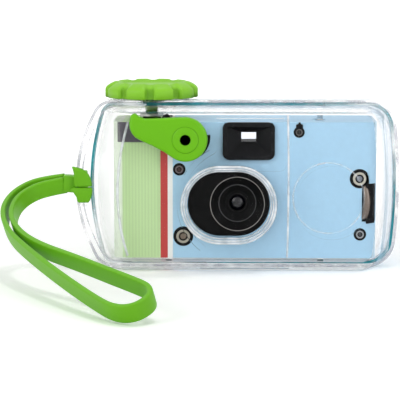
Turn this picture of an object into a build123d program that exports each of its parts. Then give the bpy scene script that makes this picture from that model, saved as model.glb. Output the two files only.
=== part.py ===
from build123d import *
from math import cos, hypot, radians, sin, sqrt, tan
import os

# A waterproof single-use film camera: a clear two-part housing with a gasket in its seam,
# a winding knob, a shutter lever and a wrist strap, and inside it a film camera in a printed wrap.
# Seen from the front +X is right, +Z is up and -Y points at the viewer.
# The origin is the middle of the flat base, below the lens axis. Lengths are in millimetres.

# Shared by all pieces
overrun = 1.0
bore_gap = 0.05
free_gap = 0.3
half_share = 0.5

# Housing: outline of the two cases where they meet
case_left = 55.9
case_right = 60.2
case_head_room = 4.0
left_bow = 90.0
right_bow = 200.0
left_corner = 4.5
right_corner = 9.0
case_front = 20.0
case_back = 20.0
seam_forward = 7.0
wall = 2.2
floor_wall = 3.4
lining_corner = 4.4

# Housing: how far its sides are drawn in at the front shoulder, the front face and the rear face
shoulder_depth = 6.5
shoulder_draw_left = 0.5
shoulder_draw_right = 1.6
shoulder_draw_top = 0.2
front_draw_left = 8.0
front_draw_right = 5.2
front_draw_top = 0.6
rear_draw_left = 1.0
rear_draw_right = 1.6
rear_draw_top = 0.6
face_round = 2.4

# Housing: rim that carries the gasket, wide at the left for the strap
rim_left = 6.1
rim_edge = 1.7
rim_bow = 60.0
rim_corner = 7.0
front_rim_thickness = 2.4
rear_rim_thickness = 3.6
gasket_width = 1.2
gasket_depth = 1.8

# Housing: raised middle of the front, port in front of the lens, embossed ring
pad_height = 2.5
pad_left = 10.0
pad_right = 19.5
pad_foot_left = 14.0
pad_foot_height = 14.0
pad_margin = 1.6
pad_swell_radius = 22.8
finder_pad_height = 0.6
finder_pad_drop = 10.6
finder_pad_margin = 1.2
finder_pad_corner = 2.5
port_reach = 6.0
port_gap = 0.5
port_wall = 2.0
port_shift = 0.35
port_lip_width = 1.7
port_lip_depth = 1.0
port_window = 1.8
port_edge = 0.6
emboss_x = 35.6
emboss_height = 27.0
emboss_radius = 14.6
emboss_width = 1.1
emboss_rise = 0.4

# Film camera inside, with its printed wrap
camera_length = 100.0
camera_drive_room = 8.6
camera_depth = 30.0
camera_shift = 2.8
rest_rib_height = 1.1
wrap_thickness = 0.3
cover_wall = 1.1
camera_corner = 3.5
cover_split = 6.0

# Film cartridge, which sets the axis of the winding knob
cartridge_radius = 12.5
cartridge_gap = 0.2
film_width = 35.0
cartridge_ends = 5.4
film_thickness = 0.2

# Winding knob and its stem
knob_radius = 18.0
knob_height = 6.0
knob_float = 0.6
knob_taper = 0.7
knob_round = 1.6
knob_lobes = 10
lobe_groove_width = 3.6
lobe_groove_depth = 1.5
knob_dish_radius = 11.5
knob_dish_depth = 1.4
knob_skirt = 2.0
stem_radius = 2.5
turret_radius = 14.5
turret_rise = 1.7
gland_depth = 1.9
ring_section = 1.6
gland_boss_radius = 5.6
gland_boss_drop = 1.7
clip_thickness = 0.8
clip_radius = 4.6
clip_groove = 0.6
dog_radius = 3.6
dog_height = 4.0
dog_blade = 1.6
dog_blade_depth = 1.8

# Shutter lever on its axle, and the crank inside the case
lever_x = -19.5
lever_drop = 5.7
lever_eye_radius = 8.3
lever_thickness = 4.6
lever_stand_off = 0.5
lever_reach = 20.6
lever_tip_rise = 5.0
lever_tip_radius = 4.2
lever_edge = 1.2
lever_hub_radius = 6.3
lever_hub_rise = 0.5
axle_radius = 1.95
axle_boss_radius = 6.0
axle_boss_rise = 1.2
axle_gland_depth = 1.7
crank_hub_radius = 6.5
crank_thickness = 1.7
crank_back_gap = 0.35
crank_arm_width = 3.0
finger_offset = 7.5
finger_radius = 0.8
finger_length = 10.5
finger_sweep = 1.5
lever_spring_radius = 4.6

# Strap loop cast into the rim
slot_height = 14.4
slot_width = 2.6
strap_bar_width = 2.0

# Wrist strap, a flat band
strap_width = 6.5
strap_thickness = 2.0
strap_fit = 0.2
strap_tuck = 1.0
strap_height = 30.8
strap_exit_rise = 1.2
strap_slope_x = 0.25
strap_slope_y = 0.317
arc_share = 0.45

# Lens and lens surround
surround_radius = 12.2
surround_spread = 6.5
surround_reach = 7.2
surround_edge = 0.5
cone_mouth_radius = 10.3
cone_step_radius = 7.3
cone_throat_radius = 4.6
cone_step_depth = 2.4
cone_throat_depth = 3.8
lens_radius = 3.5
lens_rim = 0.3
lens_thickness = 1.5
lens_curve_radius = 6.5
lens_ring_height = 0.4
lens_seat_radius = 3.0
light_bore_radius = 2.6

# Shutter behind the lens
shutter_plate_thickness = 0.8
shutter_plate_half = 14.0
blade_thickness = 0.5
blade_width = 6.6
blade_pin_x = -8.5
blade_pin_rise = 8.0
blade_pin_radius = 0.8
spring_wire = 0.5
spring_radius = 1.5

# Moulded frame that holds the film path
frame_back_thickness = 1.4
frame_left = 20.0
frame_wall = 1.0
gate_width = 36.0
gate_height = 24.0
tunnel_wall = 1.2
tunnel_front_half = 6.0
bulkhead_thickness = 1.4
deck_thickness = 1.2
deck_gap = 0.8
deck_right = 42.0
platen_ribs = 4
film_plane = 9.8
film_gap = 0.2

# Film roll, sprocket and frame counter
reel_x = 38.5
reel_radius = 9.3
reel_flange_radius = 10.2
reel_flange = 0.8
reel_core_radius = 3.2
sprocket_x = 20.5
sprocket_radius = 6.05
sprocket_teeth = 8
tooth_height = 0.6
tooth_width = 1.2
sprocket_thickness = 1.4
sprocket_drop = 3.1
sprocket_shaft_radius = 1.5
counter_offset = 10.9
counter_radius = 9.0
counter_teeth = 30
counter_tooth_depth = 0.6
counter_thickness = 1.0
counter_gap = 1.0
counter_pin_radius = 1.2
counter_window_radius = 2.6

# Ratchet wheel and its pawl
ratchet_radius = 11.8
ratchet_teeth = 36
ratchet_tooth_depth = 0.9
ratchet_thickness = 3.0
pawl_thickness = 0.8
pawl_reach = 8.0
pawl_height = 2.4

# Viewfinder
finder_x = 4.25
finder_width = 19.5
finder_tall = 14.2
finder_proud = 1.6
finder_depth = 3.1
finder_corner = 2.5
finder_neck_width = 14.5
finder_neck_tall = 10.4
finder_neck_corner = 1.5
finder_hole_width = 5.6
finder_hole_tall = 3.6
finder_hole_rise = 1.3
finder_lens_thickness = 1.0
eyepiece_width = 9.0
eyepiece_tall = 7.0
eyepiece_thickness = 1.4
eyepiece_pad_width = 24.0
eyepiece_pad_tall = 15.0
eyepiece_pad_rise = 0.8

# Shutter button of the camera inside
button_y = -8.0
button_radius = 3.6
button_rise = 0.5
button_stem = 1.4
button_cap_lift = 0.2
button_stem_radius = 2.2

# Details of the wrap: ribbed grip, dark corner, catch, holes for the cover posts
grip_width = 17.5
grip_thickness = 0.25
grip_ribs = 22
rib_height = 0.2
patch_width = 14.0
patch_height = 7.6
patch_thickness = 0.35
patch_corner = 1.6
post_shares = [(0.251, 0.654), (0.266, 0.160), (0.705, 0.927), (0.935, 0.588), (0.939, 0.177)]
post_radii = [2.4, 3.8, 2.1, 3.7, 2.4]
post_gap = 0.5
post_rise = 0.4
post_bore_share = 0.42
catch_width = 5.5
catch_low = 14.1
catch_tall = 14.6
catch_arm_width = 3.0
catch_arm_tall = 13.0
catch_thickness = 0.7

# Places worked out from the sizes above
seam = -seam_forward
front_face = -case_front
rear_face = case_back
camera_bottom = floor_wall + rest_rib_height
inner_floor = camera_bottom + wrap_thickness + cover_wall
cartridge_height = film_width + cartridge_ends
cartridge_bottom = inner_floor + cartridge_gap
cartridge_top = cartridge_bottom + cartridge_height
camera_top = cartridge_top + camera_drive_room + cover_wall + wrap_thickness
camera_height = camera_top - camera_bottom
case_height = camera_top + case_head_room + wall
camera_min_x = camera_shift - camera_length / 2
camera_max_x = camera_shift + camera_length / 2
camera_front = -camera_depth / 2
camera_rear = camera_depth / 2
cover_front = camera_front + wrap_thickness
cover_rear = camera_rear - wrap_thickness
cover_bottom = camera_bottom + wrap_thickness
cover_top = camera_top - wrap_thickness
cover_min_x = camera_min_x + wrap_thickness
cover_max_x = camera_max_x - wrap_thickness
lens_height = cartridge_bottom + cartridge_height / 2
lever_height = camera_top - lever_drop
finder_height = camera_top - finder_tall / 2
knob_x = cover_min_x + cover_wall + cartridge_gap + cartridge_radius
turret_top = case_height + turret_rise
knob_bottom = turret_top + knob_float
knob_top = knob_bottom + knob_height
gland_boss_bottom = case_height - wall - gland_boss_drop
pad_face = front_face - pad_height
port_face = front_face - port_reach
port_window_face = port_face + port_lip_depth
port_window_back = port_window_face + port_window
inner_front = cover_front + cover_wall
inner_rear = cover_rear - cover_wall
frame_bottom = inner_floor + free_gap
frame_right = reel_x - reel_flange_radius - free_gap
port_radius = surround_radius + port_gap + port_wall
port_x = port_shift - surround_spread / 2
rib_foot = floor_wall - rest_rib_height / 2
frame_back = film_plane - film_gap
film_bottom = lens_height - film_width / 2
deck_bottom = film_bottom + film_width + reel_flange + free_gap + deck_gap


def front_plane(y):
    """Plane at depth y, drawn as the viewer sees it and extruded towards the viewer."""
    return Plane.XZ.offset(-y)


def prism(outline, back, front):
    """Solid between two depths, from an outline drawn as seen from the front."""
    return extrude(front_plane(back) * outline, amount=back - front)


def column(x, y, bottom, top, radius):
    """Upright cylinder."""
    return extrude(Plane.XY.offset(bottom) * Pos(x, y) * Circle(radius), amount=top - bottom)


def peg(x, z, back, front, radius):
    """Cylinder that points at the viewer."""
    return prism(Pos(x, z) * Circle(radius), back, front)


def block(low, high):
    """Box between two opposite corners."""
    size = [high[i] - low[i] for i in range(3)]
    middle = [(high[i] + low[i]) / 2 for i in range(3)]
    return Pos(*middle) * Box(*size)


def panel(x, z, width, tall, corner):
    """Round-cornered outline, drawn as seen from the front."""
    return Pos(x, z) * RectangleRounded(width, tall, corner)


def stadium(x, z, spread, radius):
    """Outline of two equal circles side by side, joined by straight lines."""
    return Pos(x, z) * SlotCenterToCenter(spread, 2 * radius)


def bowed_outline(left, right, bottom, top, bow_left, bow_right, round_left, round_right):
    """Outline with a flat top and bottom, and sides that bow outwards."""
    middle = (bottom + top) / 2
    half = (top - bottom) / 2
    left_end = bow_left - left - sqrt(bow_left**2 - half**2)
    right_end = right - bow_right + sqrt(bow_right**2 - half**2)
    sides = [
        Line((left_end, bottom), (right_end, bottom)),
        ThreePointArc((right_end, bottom), (right, middle), (right_end, top)),
        Line((right_end, top), (left_end, top)),
        ThreePointArc((left_end, top), (-left, middle), (left_end, bottom)),
    ]
    face = make_face(sides)
    face = fillet(face.vertices().sort_by(Axis.X)[:2], round_left)
    return fillet(face.vertices().sort_by(Axis.X)[-2:], round_right)


def case_outline(grow, draw_left, draw_right, draw_top, bottom, round_right):
    """Outline of the case at some depth, grown outwards by a given amount."""
    return bowed_outline(
        case_left - draw_left + grow,
        case_right - draw_right + grow,
        bottom,
        case_height - draw_top + grow,
        left_bow + grow,
        right_bow + grow,
        left_corner + grow,
        round_right,
    )


def gasket_outline(grow):
    """Outline of the gasket's middle line, grown outwards by a given amount."""
    return bowed_outline(
        case_left + grow,
        case_right + grow,
        rim_edge - grow,
        case_height + grow,
        left_bow + grow,
        right_bow + grow,
        left_corner + grow,
        right_corner + grow,
    )


def front_shape(grow, face, bottom, corner):
    """Front half of the housing or of its cavity: seam, shoulder and face."""
    draws = [
        (seam, 0, 0, 0),
        (seam - shoulder_depth, shoulder_draw_left, shoulder_draw_right, shoulder_draw_top),
        (face, front_draw_left, front_draw_right, front_draw_top),
    ]
    sections = [
        front_plane(y) * case_outline(grow, left, right, top, bottom, corner)
        for y, left, right, top in draws
    ]
    return loft(sections, ruled=True)


def rear_shape(grow, face, bottom, corner):
    """Rear half of the housing or of its cavity: seam and face."""
    draws = [(seam, 0, 0, 0), (face, rear_draw_left, rear_draw_right, rear_draw_top)]
    sections = [
        front_plane(y) * case_outline(grow, left, right, top, bottom, corner)
        for y, left, right, top in draws
    ]
    return loft(sections, ruled=True)


def rim(back, front):
    """Slice of the rim that goes round the seam, wide at the left for the strap."""
    outline = bowed_outline(
        case_left + rim_left,
        case_right + rim_edge,
        0,
        case_height + rim_edge,
        rim_bow,
        right_bow + rim_edge,
        rim_corner,
        right_corner + rim_edge,
    )
    return prism(outline, back, front)


def strap_slot():
    """Slot behind the strap bar, through both rims."""
    bar_inside = -case_left - rim_left + strap_bar_width
    outline = Pos(bar_inside + slot_width / 2, strap_height) * RectangleRounded(
        slot_width, slot_height, strap_fit
    )
    return prism(outline, seam + rear_rim_thickness + overrun, seam - front_rim_thickness - overrun)


def turret():
    """Round platform on top of the housing, under the knob."""
    platform = column(knob_x, 0, case_height - left_corner, turret_top, turret_radius)
    return fillet(platform.edges().group_by(Axis.Z)[-1], turret_rise / 2)


def pad_outline():
    """Raised middle of the front: finder, swelling round the lens, and foot."""
    top = case_height - front_draw_top - pad_margin
    finder = Rectangle(pad_left + pad_right, top - lens_height, align=(Align.MIN, Align.MIN))
    foot = Rectangle(pad_foot_left + pad_right, pad_foot_height, align=(Align.MIN, Align.MIN))
    swell = Pos(0, lens_height) * Circle(pad_swell_radius)
    keep = Rectangle(
        pad_swell_radius + pad_right, top - pad_margin, align=(Align.MIN, Align.MIN)
    )
    outline = Pos(-pad_left, lens_height) * finder + Pos(-pad_foot_left, pad_margin) * foot + swell
    return outline & (Pos(-pad_swell_radius, pad_margin) * keep)


def finder_pad_outline():
    """Flat window of the housing in front of the viewfinder."""
    top = case_height - front_draw_top - pad_margin - finder_pad_margin
    bottom = finder_height - finder_pad_drop
    width = pad_left + pad_right - 2 * finder_pad_margin
    middle = (pad_right - pad_left) / 2
    return panel(middle, (top + bottom) / 2, width, top - bottom, finder_pad_corner)


def front_case():
    """Clear front half of the housing."""
    body = front_shape(0, front_face, 0, right_corner)
    body = fillet(body.faces().sort_by(Axis.Y)[0].edges(), face_round)
    body += rim(seam, seam - front_rim_thickness)
    half = block(
        (knob_x - 2 * turret_radius, seam - 2 * turret_radius, 0),
        (knob_x + 2 * turret_radius, seam, 2 * turret_top),
    )
    body += turret() & half
    body += prism(pad_outline(), front_face + wall / 2, pad_face)
    port = stadium(port_x, lens_height, surround_spread, port_radius)
    port_solid = prism(port, front_face + wall / 2, port_face)
    body += fillet(port_solid.edges().group_by(Axis.Y)[0], port_edge)
    body += prism(finder_pad_outline(), pad_face + wall / 2, pad_face - finder_pad_height)
    body -= front_shape(-wall, front_face + wall, floor_wall, lining_corner)
    pocket = offset(pad_outline(), amount=-wall)
    body -= prism(pocket, front_face + 2 * wall, pad_face + wall)
    body -= prism(
        stadium(port_x, lens_height, surround_spread, port_radius - port_wall),
        front_face + 2 * wall,
        port_window_back,
    )
    body -= prism(
        stadium(port_x, lens_height, surround_spread, port_radius - port_lip_width),
        port_window_face,
        port_face - overrun,
    )
    ring = Circle(emboss_radius) - Circle(emboss_radius - emboss_width)
    body += prism(Pos(emboss_x, emboss_height) * ring, front_face + wall / 2, front_face - emboss_rise)
    body += peg(lever_x, lever_height, front_face + wall / 2, front_face - axle_boss_rise, axle_boss_radius)
    body -= peg(
        lever_x, lever_height, front_face + 2 * wall, port_face - overrun, axle_radius + bore_gap
    )
    gland_floor = front_face - axle_boss_rise + axle_gland_depth
    body -= peg(
        lever_x, lever_height, gland_floor, port_face - overrun, axle_radius + bore_gap + ring_section
    )
    body -= strap_slot()
    for x in rest_rib_places():
        body += block((x, front_face + 2 * wall, rib_foot), (x + wall, seam, camera_bottom))
    return body


def rest_rib_places():
    """Places along the floor of the two ribs under the camera."""
    inset = camera_length / 5
    return [camera_min_x + inset, camera_max_x - inset - wall]


def rear_case():
    """Clear rear half of the housing, with the gland of the knob's stem."""
    body = rear_shape(0, rear_face, 0, right_corner)
    body = fillet(body.faces().sort_by(Axis.Y)[-1].edges(), face_round)
    body += rim(seam + rear_rim_thickness, seam)
    half = block(
        (knob_x - 2 * turret_radius, seam, 0),
        (knob_x + 2 * turret_radius, seam + 3 * turret_radius, 2 * turret_top),
    )
    body += turret() & half
    window = panel(finder_x, finder_height, eyepiece_pad_width, eyepiece_pad_tall, finder_pad_corner)
    body += prism(window, rear_face + eyepiece_pad_rise, rear_face - wall / 2)
    body -= rear_shape(-wall, rear_face - wall, floor_wall, lining_corner)
    body += column(knob_x, 0, gland_boss_bottom, case_height - wall / 2, gland_boss_radius)
    body -= column(knob_x, 0, wall, 2 * knob_top, stem_radius + bore_gap)
    body -= column(
        knob_x, 0, turret_top - gland_depth, 2 * knob_top, stem_radius + bore_gap + ring_section
    )
    body -= case_gasket()
    body -= strap_slot()
    rear_inside = rear_face - wall / 2
    for x in rest_rib_places():
        body += block((x, seam, rib_foot), (x + wall, rear_inside, camera_bottom))
        body += block((x, camera_rear, rib_foot), (x + wall, rear_inside, camera_top - camera_corner))
        body += block(
            (x, camera_front / 4, camera_top), (x + wall, rear_inside - wall, case_height - wall / 2)
        )
    return body


def case_gasket():
    """Rubber ring in the seam of the housing."""
    ring = gasket_outline(gasket_width / 2) - gasket_outline(-gasket_width / 2)
    return prism(ring, seam + gasket_depth, seam)


def knob_profile():
    """Half section of the knob and its stem, radius along X."""
    shoulder = knob_top - knob_dish_depth
    skirt = knob_bottom + knob_skirt
    with BuildSketch(Plane.XZ) as profile:
        with BuildLine():
            Polyline(
                (0, stem_bottom()),
                (stem_radius, stem_bottom()),
                (stem_radius, skirt),
                (knob_radius - knob_skirt - lobe_groove_depth, skirt),
                (knob_radius - knob_skirt - lobe_groove_depth, knob_bottom),
                (knob_radius, knob_bottom),
                (knob_radius - knob_taper, knob_top - knob_round),
            )
            CenterArc(
                (knob_radius - knob_taper - knob_round, knob_top - knob_round), knob_round, 0, 90
            )
            Polyline(
                (knob_radius - knob_taper - knob_round, knob_top),
                (knob_dish_radius + knob_dish_depth, knob_top),
                (knob_dish_radius, shoulder),
                (0, shoulder),
                (0, stem_bottom()),
            )
        make_face()
    return profile.sketch


def stem_bottom():
    """Lower end of the knob's stem."""
    return gland_boss_bottom - free_gap - clip_thickness - clip_groove


def winding_knob():
    """Lobed knob with its stem."""
    knob = Pos(knob_x, 0) * revolve(knob_profile(), Axis.Z)
    for i in range(knob_lobes):
        turn = Rot(0, 0, 360 / knob_lobes * i - 90)
        cut = Pos(knob_radius, 0, knob_bottom + knob_height / 2) * Box(
            2 * lobe_groove_depth, lobe_groove_width, knob_height + 2 * overrun
        )
        knob -= Pos(knob_x, 0) * turn * cut
    groove = column(knob_x, 0, clip_bottom(), clip_bottom() + clip_thickness, stem_radius + overrun)
    groove -= column(knob_x, 0, clip_bottom(), clip_bottom() + clip_thickness, stem_radius - clip_groove)
    return knob - groove


def clip_bottom():
    """Lower face of the clip that keeps the stem in its gland."""
    return gland_boss_bottom - free_gap - clip_thickness


def stem_clip():
    """Spring clip, open at one side, in the groove of the stem."""
    clip = column(knob_x, 0, clip_bottom(), clip_bottom() + clip_thickness, clip_radius)
    mouth = stem_radius - clip_groove
    under = clip_bottom() - overrun
    over = clip_bottom() + clip_thickness + overrun
    clip -= column(knob_x, 0, under, over, mouth)
    clip -= block((knob_x - mouth, 0, under), (knob_x + mouth, clip_radius + overrun, over))
    return clip


def dog_top():
    """Upper face of the drive dog, at the end of the stem."""
    return stem_bottom()


def drive_dog():
    """Dog at the end of the stem, with a blade that turns the wheel below."""
    dog = column(knob_x, 0, dog_top() - dog_height, dog_top(), dog_radius)
    blade = block(
        (knob_x - dog_radius, -dog_blade / 2, dog_top() - dog_height - dog_blade_depth),
        (knob_x + dog_radius, dog_blade / 2, dog_top() - dog_height),
    )
    return dog + blade


def ratchet_wheel():
    """Toothed wheel that the dog turns, slotted for its blade."""
    top = dog_top() - dog_height
    bottom = top - ratchet_thickness
    points = []
    for i in range(ratchet_teeth):
        turn = 2 * pi_over(ratchet_teeth) * i
        late = turn + pi_over(ratchet_teeth) / 4
        points.append((ratchet_radius * cos(turn), ratchet_radius * sin(turn)))
        root = ratchet_radius - ratchet_tooth_depth
        points.append((root * cos(late), root * sin(late)))
    outline = make_face(Polyline(*points, close=True))
    wheel = extrude(Plane.XY.offset(bottom) * Pos(knob_x, 0) * outline, amount=ratchet_thickness)
    slot = dog_radius + bore_gap
    wheel -= block(
        (knob_x - slot, -dog_blade / 2 - bore_gap, top - dog_blade_depth),
        (knob_x + slot, dog_blade / 2 + bore_gap, top + overrun),
    )
    return wheel


def pi_over(count):
    """Half a turn in radians, shared among a count."""
    return radians(180) / count


def ratchet_bottom():
    """Lower face of the ratchet wheel."""
    return dog_top() - dog_height - ratchet_thickness


def spool_neck_radius():
    """Radius of the spool where it leaves the cartridge."""
    return dog_radius - dog_blade / 2


def cartridge_spool():
    """Spool of the cartridge, held by the wheel above it."""
    spool = column(
        knob_x, 0, cartridge_bottom + 2 * cover_wall, ratchet_bottom(), spool_neck_radius()
    )
    spool += column(
        knob_x,
        0,
        cartridge_bottom + 2 * cover_wall,
        cartridge_bottom + 3 * cover_wall,
        cartridge_radius - 3 * cover_wall,
    )
    return spool


def film_cartridge():
    """Metal cartridge shell with the mouth that the film goes into."""
    shell = column(knob_x, 0, cartridge_bottom, cartridge_top, cartridge_radius)
    mouth_back = film_plane + film_thickness + cover_wall
    mouth_front = film_plane - cover_wall
    mouth_right = knob_x + cartridge_radius + cartridge_gap
    shell += block((knob_x, mouth_front, cartridge_bottom), (mouth_right, mouth_back, cartridge_top))
    shell -= column(
        knob_x,
        0,
        cartridge_bottom + cover_wall,
        cartridge_top - cover_wall,
        cartridge_radius - cover_wall,
    )
    shell -= column(
        knob_x, 0, cartridge_top - 2 * cover_wall, cartridge_top + overrun, spool_neck_radius() + bore_gap
    )
    slot_low = film_bottom - cartridge_gap
    slot_high = film_bottom + film_width + cartridge_gap
    shell -= block(
        (knob_x, film_plane - film_gap / 2, slot_low),
        (mouth_right + overrun, film_plane + film_thickness + film_gap / 2, slot_high),
    )
    return shell


def film_strip():
    """Stretch of film between the cartridge and the film roll."""
    return block(
        (knob_x + cartridge_radius / 2, film_plane, film_bottom),
        (reel_x, film_plane + film_thickness, film_bottom + film_width),
    )


def supply_reel():
    """Film wound on its core, between two flanges."""
    bottom = film_bottom - reel_flange
    top = film_bottom + film_width + reel_flange
    reel = column(reel_x, 0, film_bottom, film_bottom + film_width, reel_radius)
    reel += column(reel_x, 0, bottom, film_bottom, reel_flange_radius)
    reel += column(reel_x, 0, film_bottom + film_width, top, reel_flange_radius)
    reel += column(reel_x, 0, inner_floor + free_gap, deck_bottom + deck_thickness, reel_core_radius)
    return reel


def film_sprocket():
    """Toothed wheel that the film turns, on a shaft with one driving tooth on top."""
    bottom = film_bottom + film_width - sprocket_drop - sprocket_thickness / 2
    wheel = column(sprocket_x, sprocket_y(), bottom, bottom + sprocket_thickness, sprocket_radius)
    for i in range(sprocket_teeth):
        tooth = Pos(sprocket_radius, 0, bottom + sprocket_thickness / 2) * Box(
            2 * tooth_height, tooth_width, sprocket_thickness / 2
        )
        turn = Rot(0, 0, 360 / sprocket_teeth * (i + half_share))
        wheel += Pos(sprocket_x, sprocket_y()) * turn * tooth
    top = counter_bottom() + counter_thickness
    wheel += column(sprocket_x, sprocket_y(), bottom, top, sprocket_shaft_radius)
    reach = counter_offset - counter_radius - free_gap / 2
    cam = block(
        (sprocket_x, sprocket_y() - tooth_width / 2, counter_bottom()),
        (sprocket_x + reach, sprocket_y() + tooth_width / 2, top),
    )
    return wheel + cam


def sprocket_y():
    """Depth of the sprocket's axis, which lays its wheel against the film."""
    return film_plane - film_gap - sprocket_radius - tooth_height


def counter_bottom():
    """Lower face of the frame counter."""
    return deck_bottom + deck_thickness + counter_gap


def counter_disc():
    """Frame counter with a tooth for each frame."""
    disc = column(
        sprocket_x + counter_offset,
        sprocket_y(),
        counter_bottom(),
        counter_bottom() + counter_thickness,
        counter_radius,
    )
    for i in range(counter_teeth):
        turn = Rot(0, 0, 360 / counter_teeth * i)
        notch = Pos(counter_radius, 0, counter_bottom() + counter_thickness / 2) * Box(
            2 * counter_tooth_depth, counter_tooth_depth, 2 * counter_thickness
        )
        disc -= Pos(sprocket_x + counter_offset, sprocket_y()) * turn * notch
    disc -= column(
        sprocket_x + counter_offset,
        sprocket_y(),
        counter_bottom() - overrun,
        counter_bottom() + counter_thickness + overrun,
        counter_pin_radius + bore_gap,
    )
    return disc


def cam_frame():
    """Moulded frame with the film gate, the light tunnel and the shutter's bulkhead."""
    front = bulkhead_front()
    back = block(
        (-frame_left, frame_back - frame_back_thickness, frame_bottom),
        (frame_right, frame_back, deck_bottom),
    )
    outer_back = front_plane(frame_back) * Pos(0, lens_height) * Rectangle(
        gate_width + 2 * tunnel_wall, gate_height + 2 * tunnel_wall
    )
    outer_front = front_plane(front) * Pos(0, lens_height) * Rectangle(
        2 * tunnel_front_half + 2 * tunnel_wall, 2 * tunnel_front_half + 2 * tunnel_wall
    )
    body = back + loft([outer_back, outer_front], ruled=True)
    body += block(
        (-shutter_plate_half, front, frame_bottom),
        (shutter_plate_half, front + bulkhead_thickness, deck_bottom),
    )
    body += block(
        (-frame_left, front, frame_bottom), (-frame_left + frame_wall, frame_back, deck_bottom)
    )
    body += block(
        (frame_right - frame_wall, front, frame_bottom), (frame_right, frame_back, deck_bottom)
    )
    body += block(
        (-frame_left, front, deck_bottom), (deck_right, frame_back, deck_bottom + deck_thickness)
    )
    inner_back = front_plane(frame_back) * Pos(0, lens_height) * Rectangle(gate_width, gate_height)
    inner_front = front_plane(front + bulkhead_thickness) * Pos(0, lens_height) * Rectangle(
        2 * tunnel_front_half, 2 * tunnel_front_half
    )
    body -= loft([inner_back, inner_front], ruled=True)
    body -= peg(0, lens_height, frame_back, front - overrun, light_bore_radius)
    sprocket_low = film_bottom + film_width - sprocket_drop - sprocket_thickness
    reach = sprocket_radius + tooth_height + free_gap
    body -= block(
        (sprocket_x - reach, sprocket_y() - reach, sprocket_low),
        (sprocket_x + reach, film_plane, sprocket_low + 2 * sprocket_thickness),
    )
    body -= column(sprocket_x, sprocket_y(), sprocket_low, 2 * camera_top, sprocket_shaft_radius + bore_gap)
    body -= column(reel_x, 0, deck_bottom - overrun, 2 * camera_top, reel_core_radius + bore_gap)
    counter_x = sprocket_x + counter_offset
    body += column(
        counter_x, sprocket_y(), deck_bottom, counter_bottom() + counter_thickness, counter_pin_radius
    )
    body += column(
        counter_x, sprocket_y(), deck_bottom, counter_bottom() - free_gap, 2 * counter_pin_radius
    )
    return body


def bulkhead_front():
    """Front face of the bulkhead, behind the shutter."""
    return inner_front + 3 * shutter_plate_thickness


def cover_shell(back, front):
    """Box of the camera's plastic cover between two depths, with round upright edges."""
    shell = round_box(wrap_thickness, cover_bottom, cover_top)
    hollow = round_box(wrap_thickness + cover_wall, inner_floor, cover_top - cover_wall)
    slab = block((cover_min_x - overrun, front, 0), (cover_max_x + overrun, back, 2 * camera_top))
    return (shell - hollow) & slab


def round_box(inset, bottom, top):
    """Box with round upright edges, a given distance inside the camera's outside."""
    outline = Pos(camera_shift, 0) * RectangleRounded(
        camera_length - 2 * inset, camera_depth - 2 * inset, camera_corner - inset
    )
    return extrude(Plane.XY.offset(bottom) * outline, amount=top - bottom)


def camera_openings():
    """Tools that open the camera's cover and its wrap for what passes through them."""
    dog = column(knob_x, 0, cover_top - 2 * cover_wall, camera_top + overrun, clip_radius + free_gap)
    guide_radius = button_radius + free_gap / 2
    button = column(
        button_x(), button_y, cover_top - 2 * cover_wall, camera_top + overrun, guide_radius
    )
    counter = column(
        sprocket_x + counter_offset,
        sprocket_y() - counter_radius + counter_window_radius,
        cover_top - 2 * cover_wall,
        camera_top + overrun,
        counter_window_radius,
    )
    finder = prism(
        panel(finder_x, finder_height, finder_neck_width, finder_neck_tall, finder_neck_corner),
        cover_front + finder_depth,
        camera_front - overrun,
    )
    eyepiece = prism(
        Pos(finder_eye_x(), finder_eye_z()) * Rectangle(eyepiece_width, eyepiece_tall),
        camera_rear + overrun,
        inner_rear - overrun,
    )
    lens = peg(0, lens_height, inner_front + overrun, camera_front - overrun, cone_step_radius)
    sweep_left = button_x() - finger_radius - finger_sweep - free_gap
    sweep_right = button_x() + finger_radius + free_gap
    finger = block(
        (sweep_left, camera_front - overrun, cover_top - cover_wall - free_gap),
        (sweep_right, button_y, camera_top + overrun),
    )
    return [dog, button, counter, finder, eyepiece, lens, finger]


def cam_front_cover():
    """Black front cover of the film camera."""
    body = cover_shell(cover_split, cover_front)
    for tool in camera_openings():
        body -= tool
    catch_x = cover_max_x - catch_width
    body -= block(
        (catch_x, cover_front - overrun, camera_bottom + catch_low),
        (cover_max_x + overrun, cover_front + catch_thickness, camera_bottom + catch_low + catch_tall),
    )
    return body


def cam_rear_cover():
    """Black rear cover of the film camera, with ribs that keep the film flat."""
    body = cover_shell(cover_rear, cover_split)
    for tool in camera_openings():
        body -= tool
    platen = film_plane + film_thickness + film_gap
    rib_pitch = gate_height / (platen_ribs - 1)
    for i in range(platen_ribs):
        z = lens_height - gate_height / 2 + rib_pitch * i
        body += block(
            (-gate_width / 2, platen, z), (gate_width / 2, inner_rear + cover_wall / 2, z + cover_wall)
        )
    return body


def wrap_label():
    """Printed wrap round the film camera, with the holes of its front."""
    body = round_box(0, camera_bottom, camera_top) - round_box(wrap_thickness, cover_bottom, cover_top)
    for tool in camera_openings():
        body -= tool
    bezel = panel(
        finder_x, finder_height, finder_width + free_gap, finder_tall + free_gap, finder_corner
    )
    body -= prism(bezel, cover_front, camera_front - overrun)
    for (x, z), radius in zip(post_places(), post_radii):
        body -= peg(x, z, cover_front, camera_front - overrun, radius)
    catch_low_z = camera_bottom + catch_low
    body -= block(
        (camera_max_x - catch_width, camera_front - overrun, catch_low_z),
        (camera_max_x + overrun, camera_front + camera_corner, catch_low_z + catch_tall),
    )
    return body


def post_places():
    """Places of the posts, as shares of the camera's length and height."""
    return [
        (camera_min_x + camera_length * along, camera_bottom + camera_height * up)
        for along, up in post_shares
    ]


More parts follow.
